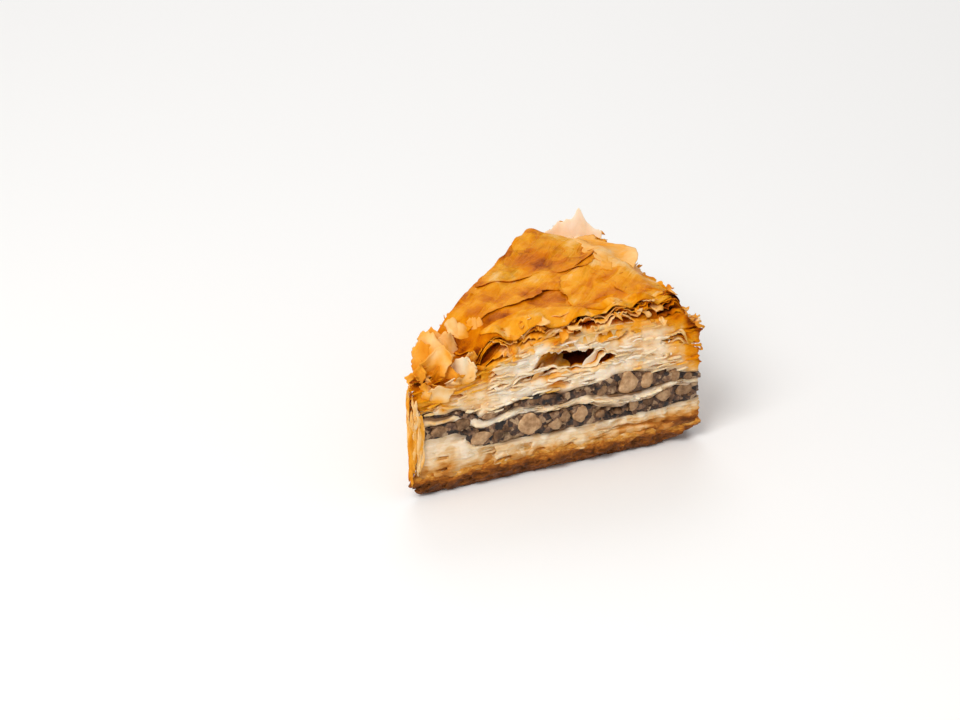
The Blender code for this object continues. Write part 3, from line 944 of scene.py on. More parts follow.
def fused_face(height, levels, toast, stain, seed, inset=0.55, hollow=1.8, smoothed=0.75, parted=False):
    """The crumbly face behind the single edges, where sheets have stuck together.

    Rows at the levels are pushed in and out by strands that are about five times as long as high
    and by crumb, and drawn in by up to hollow mm. Hollows are browner and strands a little paler, as
    painted shade and painted light, stain says how far walnut has coloured a level, smoothed how far
    the calm stretches lose this, and parted whether the openings of the stack draw the face back too,
    with their painted shade.
    """
    rows, tones, stains = [], [], []
    for level in levels:
        x, y = at_inset(inset)
        z = height(level, x, y, inset)
        z = z + bend(x, y, z)
        warp = z + 0.45 * noise(x, y, z, 2.6, seed + 1)
        strand = ridged(x * 0.2, y * 0.2, warp, 0.95, seed + 2)
        strand = strand + 0.35 * ridged(x * 0.4, y * 0.4, warp, 0.50, seed + 3)
        crumb = rough(x, y, z, 1.3, 3, seed + 4)
        dug = ramp(noise(x * 0.28, y * 0.28, warp, 1.15, seed + 5), 0.30, 0.75)
        rowdy = 1.0 - smoothed * calm(x, y, z)
        drawn = (hollow * dug - 0.28 * strand) * rowdy - 0.15 * crumb
        drawn = drawn * SPREAD ** 0.5 + opened_depth(x, y, level) * parted
        moved = bulge(x, y, z)
        x, y = at_inset(np.maximum(inset + drawn + moved, -0.6))
        rows.append(np.stack([x, y, z], axis=-1))
        # Painted shade in the hollows and where the stack opened, and painted light on the strands.
        painted_shade = (0.22 * dug - 0.06 * strand) * rowdy + 0.5 * painted_opening_shade(x, y, level) * parted
        tones.append(toast(level, x, y) + painted_shade)
        stains.append(np.clip(stain(level) * (0.8 + 0.9 * noise(x, y, z, 2.4, seed + 6)), 0.0, 1.0))
    deep = []
    for row in (rows[0], rows[-1]):
        x, y = at_inset(8.0)
        deep.append(np.stack([x, y, row[:, 2]], axis=-1))
    rows = np.stack([deep[0], *rows, deep[1]])
    ends = (0, *range(len(tones)), -1)
    return closed_band(rows, np.stack([tones[i] for i in ends]), np.stack([stains[i] for i in ends]))


def base_rows(level, x, y, inset):
    """Height of a row of the base: from just inside the crust to the lower walnut."""
    return CRUST_TOP - 0.8 + (layer_1(x, y) - CRUST_TOP + 0.7) * level


def middle_rows(level, x, y, inset):
    """Height of a row of the middle pastry."""
    return layer_2(x, y) + (layer_3(x, y) - layer_2(x, y)) * level


def inner_rows(level, x, y, inset):
    """Height of a row of the pale stack, moved where the stack has opened."""
    low = layer_4(x, y)
    return low + (inner_top(x, y, inset) - low) * level + parting(x, y, level)


def base_stain(level):
    """Walnut colours the base at its top, and the crust colours it a little at its bottom."""
    return 0.08 + 0.6 * ramp(level, 0.80, 1.0) + 0.2 * ramp(level, 0.25, 0.0)


base_face = fused_face(base_rows, np.linspace(1.0, 0.0, 44), base_toast, base_stain,
                       seed=-50, inset=0.55, hollow=1.2, smoothed=0.3)
make_piece("base_face", [base_face], BASE_EDGES, ["base_pastry"])
# The walnut stain near both beds is set stronger than the real stain, as painted shade between them.
middle_face = fused_face(middle_rows, np.linspace(1.0, 0.0, 16), middle_toast,
                         lambda level: 0.9 * ramp(abs(level - 0.5), 0.08, 0.5),
                         seed=-60, inset=0.6, hollow=1.5, smoothed=0.4)
make_piece("middle_face", [middle_face], CUT_EDGES, ["middle_pastry"])
inner_face = fused_face(inner_rows, np.linspace(1.0, 0.0, 100),
                        lambda level, x, y: inner_toast(x, y, level, 70),
                        lambda level: 0.7 * ramp(level, 0.09, 0.0), seed=80, parted=True)
make_piece("inner_face", [inner_face], CUT_EDGES, ["top_pastry"])

# %% [markdown]
# ## Golden sheets on the shoulder
# Towards the top the sheets are fried crisp. On the front and the side each ends a little further
# in than the one below, so their torn golden edges climb the shoulder like steps, and many lift
# and curl. On the diagonal, the last cut, they stay flush.

# %% Golden sheets
GOLDEN_SHEETS = 7
GOLDEN_THICK = 0.26
# face, middle, half length, first sheet that rises, rise in mm
LIFTS = (
    (FRONT, 22.4, 3.7, 2, 3.2),
    (FRONT, 60.6, 3.6, 3, 2.2),
    (FRONT, 54.0, 3.4, 1, 1.7),
    (FRONT, 44.0, 3.0, 2, 1.3),
    (FRONT, 67.5, 3.5, 1, 1.4),
    (FRONT, 49.5, 5.0, 4, 1.0),
    (FRONT, 33.0, 3.6, 4, 1.4),
    (SIDE, 14.0, 6.0, 3, 1.3),
    (SIDE, 33.0, 8.0, 5, 1.0),
    (SIDE, 52.0, 5.0, 2, 1.4),
    (CUT, 20.0, 7.0, 4, 0.9),
    (CUT, 47.0, 9.0, 3, 0.8),
    (CUT, 78.0, 7.0, 5, 0.4),
)


def lifted_by(x, y, order, depth):
    """Rise of a golden sheet over the air below it: a lens along the face, fading inwards."""
    rise = 0.0
    for face, middle, half, first, high in LIFTS:
        lens = np.clip(1.0 - ((station(face, x, y) - middle) / half) ** 2, 0.0, 1.0)
        near = ramp(insets(x, y)[face], 8.0, 4.0)
        rise = rise + (high * lens * near if order >= first else 0.0)
    return rise * np.exp(-np.maximum(depth, 0.0) / 3.0)


# How far the steps climb in from the cut, in mm, and how much of its depth a sheet keeps at its edge.
STEP = 3.2 * SHARE[FRONT] + 2.4 * SHARE[SIDE] + 0.7 * SHARE[CUT]
LEAN = 0.15 * SHARE[FRONT] + 0.25 * SHARE[SIDE] + 0.9 * SHARE[CUT]


def crumple(x, y):
    """Folds of the top: long ones along the diagonal over the back half, and a fine crumple."""
    front, side, cut = insets(x, y)
    t = along_cut(x, y)
    long_folds = 0.60 * noise(t, cut * 3.6, 0.0, 15.0, 41) * ramp(front, 14.0, 26.0)
    creases = 0.30 * ridged(t, cut * 3.2, 0.0, 11.0, 42) * ramp(front, 10.0, 24.0)
    fine = 0.26 * rough(x, y, 0.0, 6.5, 3, 43) + 0.10 * ridged(x, y, 0.0, 4.2, 44)
    nearest = np.minimum(cut, np.minimum(front, side))
    return (long_folds + creases + fine) * ramp(nearest, 0.5, 5.0)


def golden_sheet(order, seed):
    """Sheet number order from the bottom: further in, nearer the dome and more toasted each time."""
    share = order / (GOLDEN_SHEETS - 1)
    below = 0.48 * (GOLDEN_SHEETS - 1 - order)
    x0, y0 = at_inset(0.0)
    slow = 1.8 * noise(x0, y0, 0.0, 9.0, seed + 4) * SPREAD ** 0.5 * (1.0 - 0.75 * SHARE[CUT])
    edge = torn_edge(0.25 + STEP * share, 0.95, 0.34, seed) + slow * share
    pressed = 1.0 - 0.7 * ramp(along_cut(x0, y0), 74.0, 86.0)
    lifted = 1.9 * np.maximum(0.0, noise(x0, y0, 0.0, 8.0, seed + 5)) ** 1.2 * pressed
    frill = 0.60 * noise(x0, y0, 0.0, 3.4, seed + 6) + 0.22 * noise(x0, y0, 0.0, 1.2, seed + 7)

    def height(x, y, inset):
        depth = inset - edge
        sunk = below * (LEAN + (1.0 - LEAN) * ramp(depth, 0.0, 2.5)) + 0.9 * ramp(depth, 1.8, 4.5)
        curl = (lifted * np.exp(-depth / 1.6) + frill * np.exp(-depth / 0.7)) * (0.3 + 0.7 * share)
        return dome(x, y) + crumple(x, y) - 0.3 - sunk + curl + lifted_by(x, y, order, depth)

    inset = edge + DEPTHS
    x, y = at_inset(inset)
    ends = ramp(along_front(x), 30.0, 16.0) + 3.0 * ramp(along_front(x), 52.0, 70.0)
    toast = 0.34 + 0.14 * share + 0.14 * ends * SHARE[FRONT]
    toast = toast + 0.14 * noise(x, y, seed, 4.0, seed) + 0.10 * noise(x, y, seed, 1.3, seed + 1)
    # Browner inwards from the torn edge; past about a millimetre, where a sheet shows only down the gaps,
    # this is painted shade.
    inward_brown_and_gap_shade = 0.10 * ramp(DEPTHS, 0.05, 0.5) + 0.08 * ramp(DEPTHS, 0.9, 3.0)
    return ring_sheet(height, edge, GOLDEN_THICK, toast + inward_brown_and_gap_shade, 0.5, seed)


golden_sheets = [golden_sheet(i, 500 + 8 * i) for i in range(GOLDEN_SHEETS)]
make_piece("golden_sheets", golden_sheets, GOLDEN_EDGES, ["top_pastry"])

# %% [markdown]
# ## The body behind the edges
# Behind the bands the stack is solid, and seen only as darkness at the back of a gap. One closed
# core fills it, set in far enough to leave the gaps deep, and painted nearly burnt brown as the
# shade at their back.

# %% Core
CORE_INSET, CORE_FLOOR, UNDER_DOME = 7.0, 3.0, 2.0


def core_rows():
    """Over the inside of the stack: rings in under the dome, down the wall and in along the floor."""
    rows = []
    for inset in (18.5, 15, 12, 10, 8.5, 7.3):
        x, y = at_inset(inset)
        rows.append(np.stack([x, y, dome(x, y) - UNDER_DOME], axis=-1))
    top = rows[-1][:, 2]
    x, y = at_inset(CORE_INSET)
    for share in np.linspace(0.0, 1.0, 8)[1:]:
        rows.append(np.stack([x, y, top * (1 - share) + CORE_FLOOR * share], axis=-1))
    for inset in (9, 12, 16, 18.5):
        x, y = at_inset(inset)
        rows.append(np.stack([x, y, np.full_like(x, CORE_FLOOR)], axis=-1))
    return np.stack(rows)


# Toast 0.95 is painted shade: the real inside of the stack is pale.
make_piece("stack_core", [closed_disc(core_rows(), 0.95)], CUT_EDGES, ["top_pastry"])

# %% [markdown]
# ## Walnut
# The filling is chopped walnut held by syrup: a dark crumbling paste with pieces of kernel from
# crumbs to half nuts. The knife sliced the ones it met, which left flat pale faces flush with the
# cut, with the brown skin as a thin line round them.


# %% The paste
def paste_band(lower, upper, seed):
    """A band between two layers whose outer wall is broken into lumps of a few sizes."""
    rows = []
    for inset in (8.0, 5.0, 3.0, 1.8):
        x, y = at_inset(inset)
        rows.append(np.stack([x, y, upper(x, y) - 0.1], axis=-1))
    for share in np.linspace(0.0, 1.0, 14):
        x, y = at_inset(1.0)
        z = (upper(x, y) - 0.05) * (1 - share) + (lower(x, y) + 0.05) * share
        lumps = 1.1 * rough(x, y, z * 1.3, 2.6, 4, seed, 0.66) + 0.4 * ridged(x, y, z, 1.2, seed + 9)
        inset = 0.45 - 0.8 * lumps * (0.4 + 0.6 * math.sin(math.pi * share)) * SPREAD ** 0.5
        x, y = at_inset(np.maximum(inset, 0.05))
        rows.append(np.stack([x, y, z + 0.15 * noise(x, y, z, 1.1, seed + 3)], axis=-1))
    for inset in (1.8, 3.0, 5.0, 8.0):
        x, y = at_inset(inset)
        rows.append(np.stack([x, y, lower(x, y) + 0.1], axis=-1))
    return closed_band(np.stack(rows), 0.5)


for name, lower, upper in (("lower", layer_1, layer_2), ("upper", layer_3, layer_4)):
    bed = upper(*at_inset(0.5)) - lower(*at_inset(0.5))
    print(name, "bed at the cuts, mm:", round(float(bed.min()), 1), "to", round(float(bed.max()), 1))


# %% One nut
def nut(centre, size, seed, rings, columns, clean, pale):
    """A lumpy ball, chipped flat on a few sides and sliced where it would pass a cut face.

    Its points are directions times a size that noise changes. A chip or a slice takes away what
    lies beyond a plane, and those points get the cut number. The palest nuts have the fewest chips,
    and clean is how far inside the cut face the knife left the slice.
    """
    rng = np.random.default_rng(seed)
    polar = np.linspace(0.0, math.pi, rings + 2)[1:-1, None]
    around = np.arange(columns)[None, :] * 2 * math.pi / columns
    ball = np.stack(np.broadcast_arrays(np.sin(polar) * np.cos(around), np.sin(polar) * np.sin(around),
                                        np.cos(polar)), axis=-1)
    along = np.moveaxis(ball, -1, 0)
    knobs = 1.0 + 0.26 * noise(*along, 0.8, seed) + 0.10 * noise(*along, 0.35, seed + 1)
    ball = ball * knobs[..., None]
    broken = np.zeros(ball.shape[:2])
    for _ in range(6 - round(4 * pale)):
        side = rng.normal(size=3)
        side /= np.linalg.norm(side)
        beyond = ball @ side - rng.uniform(0.58, 0.95)
        ball = ball - np.maximum(beyond, 0.0)[..., None] * side
        broken = np.maximum(broken, ramp(beyond, -0.05, 0.05) * rng.uniform(0.2, 0.9))
    points = ball * np.asarray(size) * rng.uniform(0.9, 1.15, 3) + np.asarray(centre)
    cut = broken
    for angle in FACES:
        face = np.array([math.cos(angle), math.sin(angle), 0.0])
        beyond = points @ face - (INRADIUS - clean)
        points = points - 0.8 * np.maximum(beyond, 0.0)[..., None] * face
        cut = np.maximum(cut, ramp(beyond, -0.9, 0.1))
    return closed_disc(points, pale, cut)


CRUMB, PIECE, BIG_NUT = (5, 8), (11, 16), (15, 22)  # rings and columns
for rings, columns in (CRUMB, PIECE, BIG_NUT):
    print("points in a nut:", len(nut((0, 0, 9), (1, 1, 1), 0, rings, columns, 0.1, 1.0)[0]))


# %% Nuts in their beds
def rim_point(part, inset):
    """Plan position at a share of the way round the outline."""
    column = int(part * COLUMNS) % COLUMNS
    x, y = at_inset(inset)
    return float(x[column]), float(y[column])


def front_point(s, inset):
    """Plan position on the front face at a distance from the sharp corner."""
    return s - FRONT_LEG + INRADIUS, -INRADIUS + inset


def scattered_nuts(lower, upper, count, biggest, smallest, seed, grid, palest, front=False):
    """Nuts at random places and sizes, no taller than their bed, and on the front only if asked."""
    rng = np.random.default_rng(seed)
    nuts = []
    for i in range(count):
        inset = rng.uniform(0.5, 1.3)
        x, y = rim_point(rng.uniform(), inset)
        if not front and y < -INRADIUS + 3.0:
            continue
        low, high = float(lower(np.array(x), np.array(y))), float(upper(np.array(x), np.array(y)))
        size = min(rng.uniform(smallest, biggest), 0.52 * (high - low))
        z = rng.uniform(low + size * 0.9, max(high - size * 0.9, low + size * 0.95))
        long_side = size * rng.uniform(1.0, 1.5)
        clean, pale = rng.uniform(0.0, 0.4), palest * rng.uniform() ** 1.5
        nuts.append(nut((x, y, z), (long_side, long_side, size), seed + 7 * i, *grid, clean, pale))
    return nuts


# The big pieces on the front: distance along it, height of the middle, half length, half height,
# and paleness from 0 for skin to 1 for fresh kernel.
LOWER_FRONT = ((8.6, 16.0, 2.4, 1.4, 0.5), (14.2, 16.6, 2.1, 1.4, 0.3), (18.8, 12.2, 2.4, 1.7, 0.8),
               (23.0, 12.0, 1.5, 1.3, 0.2), (25.6, 13.4, 1.6, 1.3, 0.1), (31.0, 13.1, 3.3, 3.0, 1.0),
               (37.4, 12.0, 1.7, 1.5, 0.7), (39.8, 13.4, 1.6, 1.4, 0.5), (43.6, 13.0, 2.0, 2.1, 0.9),
               (49.0, 12.0, 1.2, 0.9, 0.4), (53.2, 11.6, 1.4, 1.0, 0.3), (57.4, 12.4, 1.5, 1.3, 0.5),
               (61.0, 12.8, 1.4, 1.2, 0.2), (65.6, 13.2, 2.3, 1.3, 0.6), (70.4, 13.8, 2.0, 1.4, 0.5))
UPPER_FRONT = ((20.5, 17.3, 2.0, 0.8, 0.5), (32.0, 18.8, 1.7, 0.9, 0.2), (35.6, 19.3, 1.9, 0.8, 0.1),
               (49.2, 17.8, 1.5, 1.1, 0.4), (52.0, 19.2, 1.2, 0.9, 0.2), (55.8, 18.8, 2.7, 2.4, 1.0),
               (60.8, 18.4, 2.1, 1.9, 1.0), (64.6, 19.4, 1.4, 0.8, 0.0), (67.6, 17.9, 1.7, 1.2, 0.6),
               (71.4, 17.0, 1.6, 0.9, 0.4))


def placed_nuts(sizes, seed):
    """The named pieces of the front face, set so that the knife sliced each near its middle."""
    nuts = []
    for i, (s, z, half_length, half_height, pale) in enumerate(sizes):
        x, y = front_point(s, 0.5 + 0.9 * (1.0 - pale))
        nuts.append(nut((x, y, z), (half_length, 2.2, half_height), seed + 7 * i, *BIG_NUT, 0.1, pale))
    return nuts


make_piece("lower_paste", [paste_band(layer_1, layer_2, 600)], PASTE, ["lower_walnut"])
lower_nuts = placed_nuts(LOWER_FRONT, 640)
lower_nuts += scattered_nuts(layer_1, layer_2, 58, 2.6, 0.9, 650, PIECE, 0.8)
lower_nuts += scattered_nuts(layer_1, layer_2, 170, 0.7, 0.25, 670, CRUMB, 0.4, front=True)
make_piece("lower_nuts", lower_nuts, WALNUT, ["lower_walnut"])
make_piece("upper_paste", [paste_band(layer_3, layer_4, 700)], PASTE, ["upper_walnut"])
upper_nuts = placed_nuts(UPPER_FRONT, 740)
upper_nuts += scattered_nuts(layer_3, layer_4, 46, 2.2, 0.6, 750, PIECE, 0.8)
upper_nuts += scattered_nuts(layer_3, layer_4, 150, 0.6, 0.25, 770, CRUMB, 0.4, front=True)
make_piece("upper_nuts", upper_nuts, WALNUT, ["upper_walnut"])

# %% [markdown]
# ## The torn top
# The top is several sheets, each torn somewhere, so deeper and darker ones show through. A torn
# sheet is a star-shaped outline round a centre: a few corners give the tear its course, noise frays
# it, and rings shrink to the centre. It lies on the dome and lifts where its edge is loose.


# %% A sheet with a torn outline
def reach(corners, centre, angles):
    """Distance from the centre to an outline of straight edges, in each direction."""
    p = np.asarray(corners, float) - np.asarray(centre, float)
    edge = np.roll(p, -1, axis=0) - p
    u = np.stack([np.cos(angles), np.sin(angles)], axis=-1)[:, None, :]
    across = u[..., 0] * edge[None, :, 1] - u[..., 1] * edge[None, :, 0]
    across = np.where(np.abs(across) < 1e-9, 1e-9, across)
    distance = (p[:, 0] * edge[:, 1] - p[:, 1] * edge[:, 0])[None, :] / across
    along = (p[None, :, 0] * u[..., 1] - p[None, :, 1] * u[..., 0]) / across
    met = (along >= 0) & (along <= 1) & (distance > 0)
    return np.where(met, distance, 1e3).min(axis=1)


def inside_reach(centre, angles, keep):
    """Distance from the centre to the cut faces in each direction, less the inset to keep."""
    at_centre = np.array(insets(*centre))
    away = np.stack([np.cos(angles - a) for a in FACES], axis=-1)
    room = (at_centre - np.asarray(keep)) / np.maximum(away, 1e-3)
    return np.where(away > 1e-3, room, 1e3).min(axis=1)


def smooth_round(values, passes):
    """Average with both neighbours round a closed outline, several times."""
    for _ in range(passes):
        values = 0.25 * np.roll(values, 1) + 0.5 * values + 0.25 * np.roll(values, -1)
    return values


def torn_sheet(corners, centre, lift, toast, seed, loose=0.8, columns=260, rings=36,
               keep=(2.6, 2.0, 0.8), thick=0.16):
    """A top sheet: rings from its centre to its torn outline over the dome, then back underneath.

    Lift is its height over the dome, loose how far its edge may curl up, both in mm, and keep the
    inset from each cut face that it doesn't pass.
    """
    angles = np.arange(columns) * 2 * math.pi / columns
    distance = smooth_round(reach(corners, centre, angles), 14)
    ex, ey = centre[0] + distance * np.cos(angles), centre[1] + distance * np.sin(angles)
    fray = 0.55 * noise(ex, ey, 0.0, 3.5, seed) + 0.30 * noise(ex, ey, 0.0, 1.3, seed + 1)
    fray = fray + 0.16 * noise(ex, ey, 0.0, 0.6, seed + 2)
    limit = inside_reach(centre, angles, keep)
    distance = np.minimum(distance + fray, limit + 0.5 * fray)
    share = np.concatenate([np.linspace(0.03, 0.93, rings - 4), [0.955, 0.975, 0.99, 1.0]])[:, None]
    x, y = centre[0] + share * distance * np.cos(angles), centre[1] + share * distance * np.sin(angles)
    to_edge = (1.0 - share) * distance
    loosened = np.maximum(0.0, 0.25 + noise(ex, ey, 0.0, 7.0, seed + 3)) * loose
    own = 0.10 * noise(x, y, 0.0, 3.0, seed + 4) + 0.05 * ridged(x, y, 0.0, 2.2, seed + 5)
    z = dome(x, y) + crumple(x, y) + lift + own + loosened * np.exp(-to_edge / 1.5)
    z = z + lifted_by(x, y, GOLDEN_SHEETS, 0.0)
    half = 0.5 * thick * (0.4 + 0.6 * ramp(to_edge, 0.0, 0.3))
    upper, lower = np.stack([x, y, z + half], axis=-1), np.stack([x, y, z - half], axis=-1)
    # Browner in the hollows of the crumple, where syrup pooled, and paler on its ridges as painted light.
    tone = toast + 0.10 * noise(x, y, 0.0, 6.0, seed + 6) - 0.20 * crumple(x, y)
    tone = tone + 0.08 * np.exp(-to_edge / 0.35)
    return closed_disc(np.concatenate([upper, lower[::-1]]), np.concatenate([tone, tone[::-1]]))


# Corners of each torn outline, in mm over the plan: the whole sheet below, and those above it.
UNDER = ((-47, -19), (16, -19), (19.5, 40), (12, 36), (-47, -16))
LEFT = ((-45, -12), (-36, -13), (-30, -11), (-27, -9.5), (-21, -8.5), (-16, -7.5), (-12, -4), (-9, -3),
        (-7.5, -4.5), (-4, 2), (8, 8), (9, 36), (0, 32))
RIGHT = ((-8, -3.5), (-7.5, -10), (-9.5, -14), (-6, -18.8), (6, -19.2), (4.5, -9.5), (5.7, -6.5), (5, -4),
         (5.7, -0.5), (3, 3.5), (-4, 4))
FLAP = ((4, -3), (5, -10), (8, -18), (20, -18), (21, -5), (21, 20), (20, 42), (11, 40), (4, 20), (1, 5))
BAND = ((-34, -14), (-22, -12.3), (-10, -13.6), (2, -11.5), (15, -13), (17, -18.5), (5, -20), (-10, -20),
        (-25, -20), (-34, -18))
HIGH = ((-27, 2), (-16, 3.8), (-10, 5), (-8, 6.6), (-5, 6.6), (-4.2, 4.2), (2.8, 2.4), (8, 7), (12, 18),
        (13, 36), (5, 36), (-12, 22))
lowest = torn_sheet(UNDER, (0.0, -3.0), -0.05, 0.71, 801, 0.0, 360, 46, (2.4, 1.8, 0.6))
flap = torn_sheet(FLAP, (12.0, 4.0), 0.08, 0.52, 811, 0.4)
band = torn_sheet(BAND, (-8.0, -16.4), 0.10, 0.57, 821, 0.6, keep=(1.9, 2.0, 1.0))
right = torn_sheet(RIGHT, (-1.5, -8.0), 0.14, 0.57, 831, 0.7)
left = torn_sheet(LEFT, (-16.0, 3.0), 0.16, 0.635, 841, 0.9, 360, 46)
high = torn_sheet(HIGH, (-3.0, 14.0), 0.20, 0.62, 851, 0.9, 330, 42)
make_piece("top_sheets_low", [lowest, flap, band], GLAZED_TOP, ["top_pastry"])
make_piece("top_sheets_high", [right, left, high], GLAZED_TOP, ["top_pastry"])

# %% [markdown]
# ## Loose sheets that stand up
# Two leaves have come away at the back and rise beside the diagonal, pale and thin enough for light
# to come through, which is painted as a paler top on each. One top sheet has lifted and runs straight
# out over the side shoulder. Each is a strip with two parameters. A leaf has a foot line, a height
# along it and a bend, and the lifted sheet runs from a line on the top to a free edge in the air.
# All have ragged edges.


# %% Standing sheets
def unit_grid(columns, rows):
    """The two parameters of a strip: u runs across it from 0 to 1, and v up it."""
    return np.linspace(0.0, 1.0, columns)[None, :], np.linspace(0.0, 1.0, rows)[:, None]


def standing(foot, rise, bend, lean, seed, toast, columns=56, rows=30, thick=0.22):
    """A sheet on a foot line: height times v, leaning by the bend times v squared, with ripples."""
    u, v = unit_grid(columns, rows)
    fx, fy, fz = foot(u)
    high = rise(u) + 0.5 * noise(u * 20, 0.0, 0.0, 2.2, seed) + 0.3 * noise(u * 20, 0.0, 0.0, 0.8, seed + 1)
    ripple = noise(u * 20, v * 6, 0.0, 4.5, seed + 2) * v
    over = bend * v**2 + ripple + 0.4 * ridged(u * 20, v * 8, 0.0, 3.4, seed + 3) * v
    middle = np.stack([fx + lean[0] * over, fy + lean[1] * over, fz + high * v], axis=-1)
    # Painted light: paler towards the top of the leaf, for the light that comes through it, and browner at
    # its foot.
    tone = toast + 0.12 * (1 - v) + 0.06 * noise(u * 20, v * 8, 0.0, 3.0, seed + 4)
    return strip_sheet(middle, thick, tone)


def back_foot(u):
    """Where the tall leaf stands: a slightly wavy line beside the diagonal, near the back corner."""
    return 6.8 + 12.4 * u, 33.6 - 5.8 * u + np.sin(3 * u), 28.0


def back_rise(u):
    """Its height: an arch with one torn point."""
    return 5.2 + 2.8 * np.sin(np.pi * u) + 3.4 * bump(u, 0.62, 0.09)


def front_foot(u):
    """Where the low leaf in front of it stands."""
    return tuple(value + moved for value, moved in zip(back_foot(u), (0.8, -1.8, -0.8)))


def front_rise(u):
    """Its height: a lower arch."""
    return 2.6 + 2.4 * np.sin(np.pi * u)


leaves = [standing(back_foot, back_rise, 1.4, (0.3, 0.3), 901, 0.10),
          standing(front_foot, front_rise, 0.8, (0.2, 0.5), 905, 0.18)]
print("the tall leaf stands", round(float(back_rise(np.linspace(0, 1, 50)).max()), 1), "mm over its foot")

# %% The sheet that runs out over the shoulder
FLAP_LONG, FLAP_OUT = 27.0, 12.0  # along the side and out over the shoulder, in mm


def lifted_flap(seed, toast, columns=64, rows=40):
    """A top sheet from a ragged line on the top, where v is 0, to its free edge, where v is 1."""
    u, v = unit_grid(columns, rows)
    along, out = u * FLAP_LONG, v * FLAP_OUT
    x0 = 6.5 + 1.5 * np.sin(np.pi * u) + 1.3 * noise(along, 0.0, 0.0, 3.0, seed + 8)
    x0 = x0 + 0.5 * noise(along, 0.0, 0.0, 0.9, seed + 9)
    y0 = FLAP_LONG - along + 1.3 * noise(out, 0.0, u, 2.6, seed + 10)
    y0 = y0 + 0.5 * noise(out, 0.0, u, 0.8, seed + 11)
    arch = 4.2 * np.sin(np.pi * np.clip(u * 1.15, 0.0, 1.0)) ** 0.8 * ramp(u, 0.0, 0.5)
    fray = 0.5 * noise(along, 0.0, 0.0, 3.0, seed) + 0.3 * noise(along, 0.0, 0.0, 1.0, seed + 1)
    x1 = 15.2 + arch - 1.6 * ramp(u, 0.75, 1.0) + fray
    x, y = x0 + (x1 - x0) * v, y0 - v
    free = 34.6 + 1.7 * bump(u, 0.62, 0.30)
    share = ramp(v, 0.15, 1.0)
    z = (dome(x, y) + crumple(x, y) + 0.25) * (1 - share) + free * share
    z = z + 0.30 * noise(along, out, 0.0, 4.0, seed + 2) * v + 0.12 * noise(along, out, 0.0, 1.6, seed + 3)
    tone = toast + 0.07 * noise(x, y, 0.0, 5.0, seed + 4) - 0.05 * ramp(v, 0.7, 1.0)
    return strip_sheet(np.stack([x, y, z], axis=-1), 0.18, tone)


standing_sheets = [*leaves, lifted_flap(911, 0.47)]
make_piece("standing_sheets", standing_sheets, LOOSE_FLAKES, ["top_pastry"])

# %% [markdown]
# ## Flakes
# At the sharp corner the crisp top has shattered into curled flakes that lean on each other like
# petals. A flake is a small square sheet, bent across and along, turned to face outwards and stuck
# in at its foot. One function makes every size of it, and the petals are placed one by one, because
# each can be told from the next.


# %% One flake
def flake(place, facing, tilt, length, width, cup, curl, seed, toast, rows=14, columns=14, thick=0.16):
    """A bent sheet from its foot at place: it rises at the tilt, cupped across and curled along."""
    u, v = np.linspace(-0.5, 0.5, columns)[None, :], np.linspace(0.0, 1.0, rows)[:, None]
    rng = np.random.default_rng(seed)
    ragged = 1.0 + 0.16 * noise(u * 6, 0.0, 0.0, 2.0, seed) + 0.07 * noise(u * 6, 0.0, 0.0, 0.45, seed + 1)
    taper = 1.0 - 0.38 * np.abs(2 * u - rng.uniform(-0.5, 0.5)) ** rng.uniform(1.1, 2.2)
    frayed = 1 + 0.18 * noise(v * 6, np.sign(u), 0.0, 1.4, seed + 2)
    frayed = frayed + 0.10 * noise(v * 6, np.sign(u), 0.0, 0.5, seed + 6)
    out = width * u * (0.55 + 0.9 * v - 0.45 * v**2) * frayed
    along = length * v * ragged * taper
    crinkle = 0.60 * ridged(u * 7, v * 7, 0.0, 3.4, seed + 3) + 0.08 * noise(u * 7, v * 7, 0.0, 1.3, seed + 4)
    lift = cup * (2 * u) ** 2 * (0.3 + 0.7 * v) + curl * v**2 + crinkle * v
    up, face = math.radians(tilt), math.radians(facing)
    forward = along * math.cos(up) - lift * math.sin(up)
    height = along * math.sin(up) + lift * math.cos(up)
    x = place[0] + forward * math.cos(face) - out * math.sin(face)
    y = place[1] + forward * math.sin(face) + out * math.cos(face)
    tone = toast + 0.10 * noise(u * 6, v * 6, 0.0, 2.5, seed + 5) + 0.16 * ramp(v, 0.5, 0.0)
    return strip_sheet(np.stack([x, y, place[2] + height], axis=-1), thick, tone)


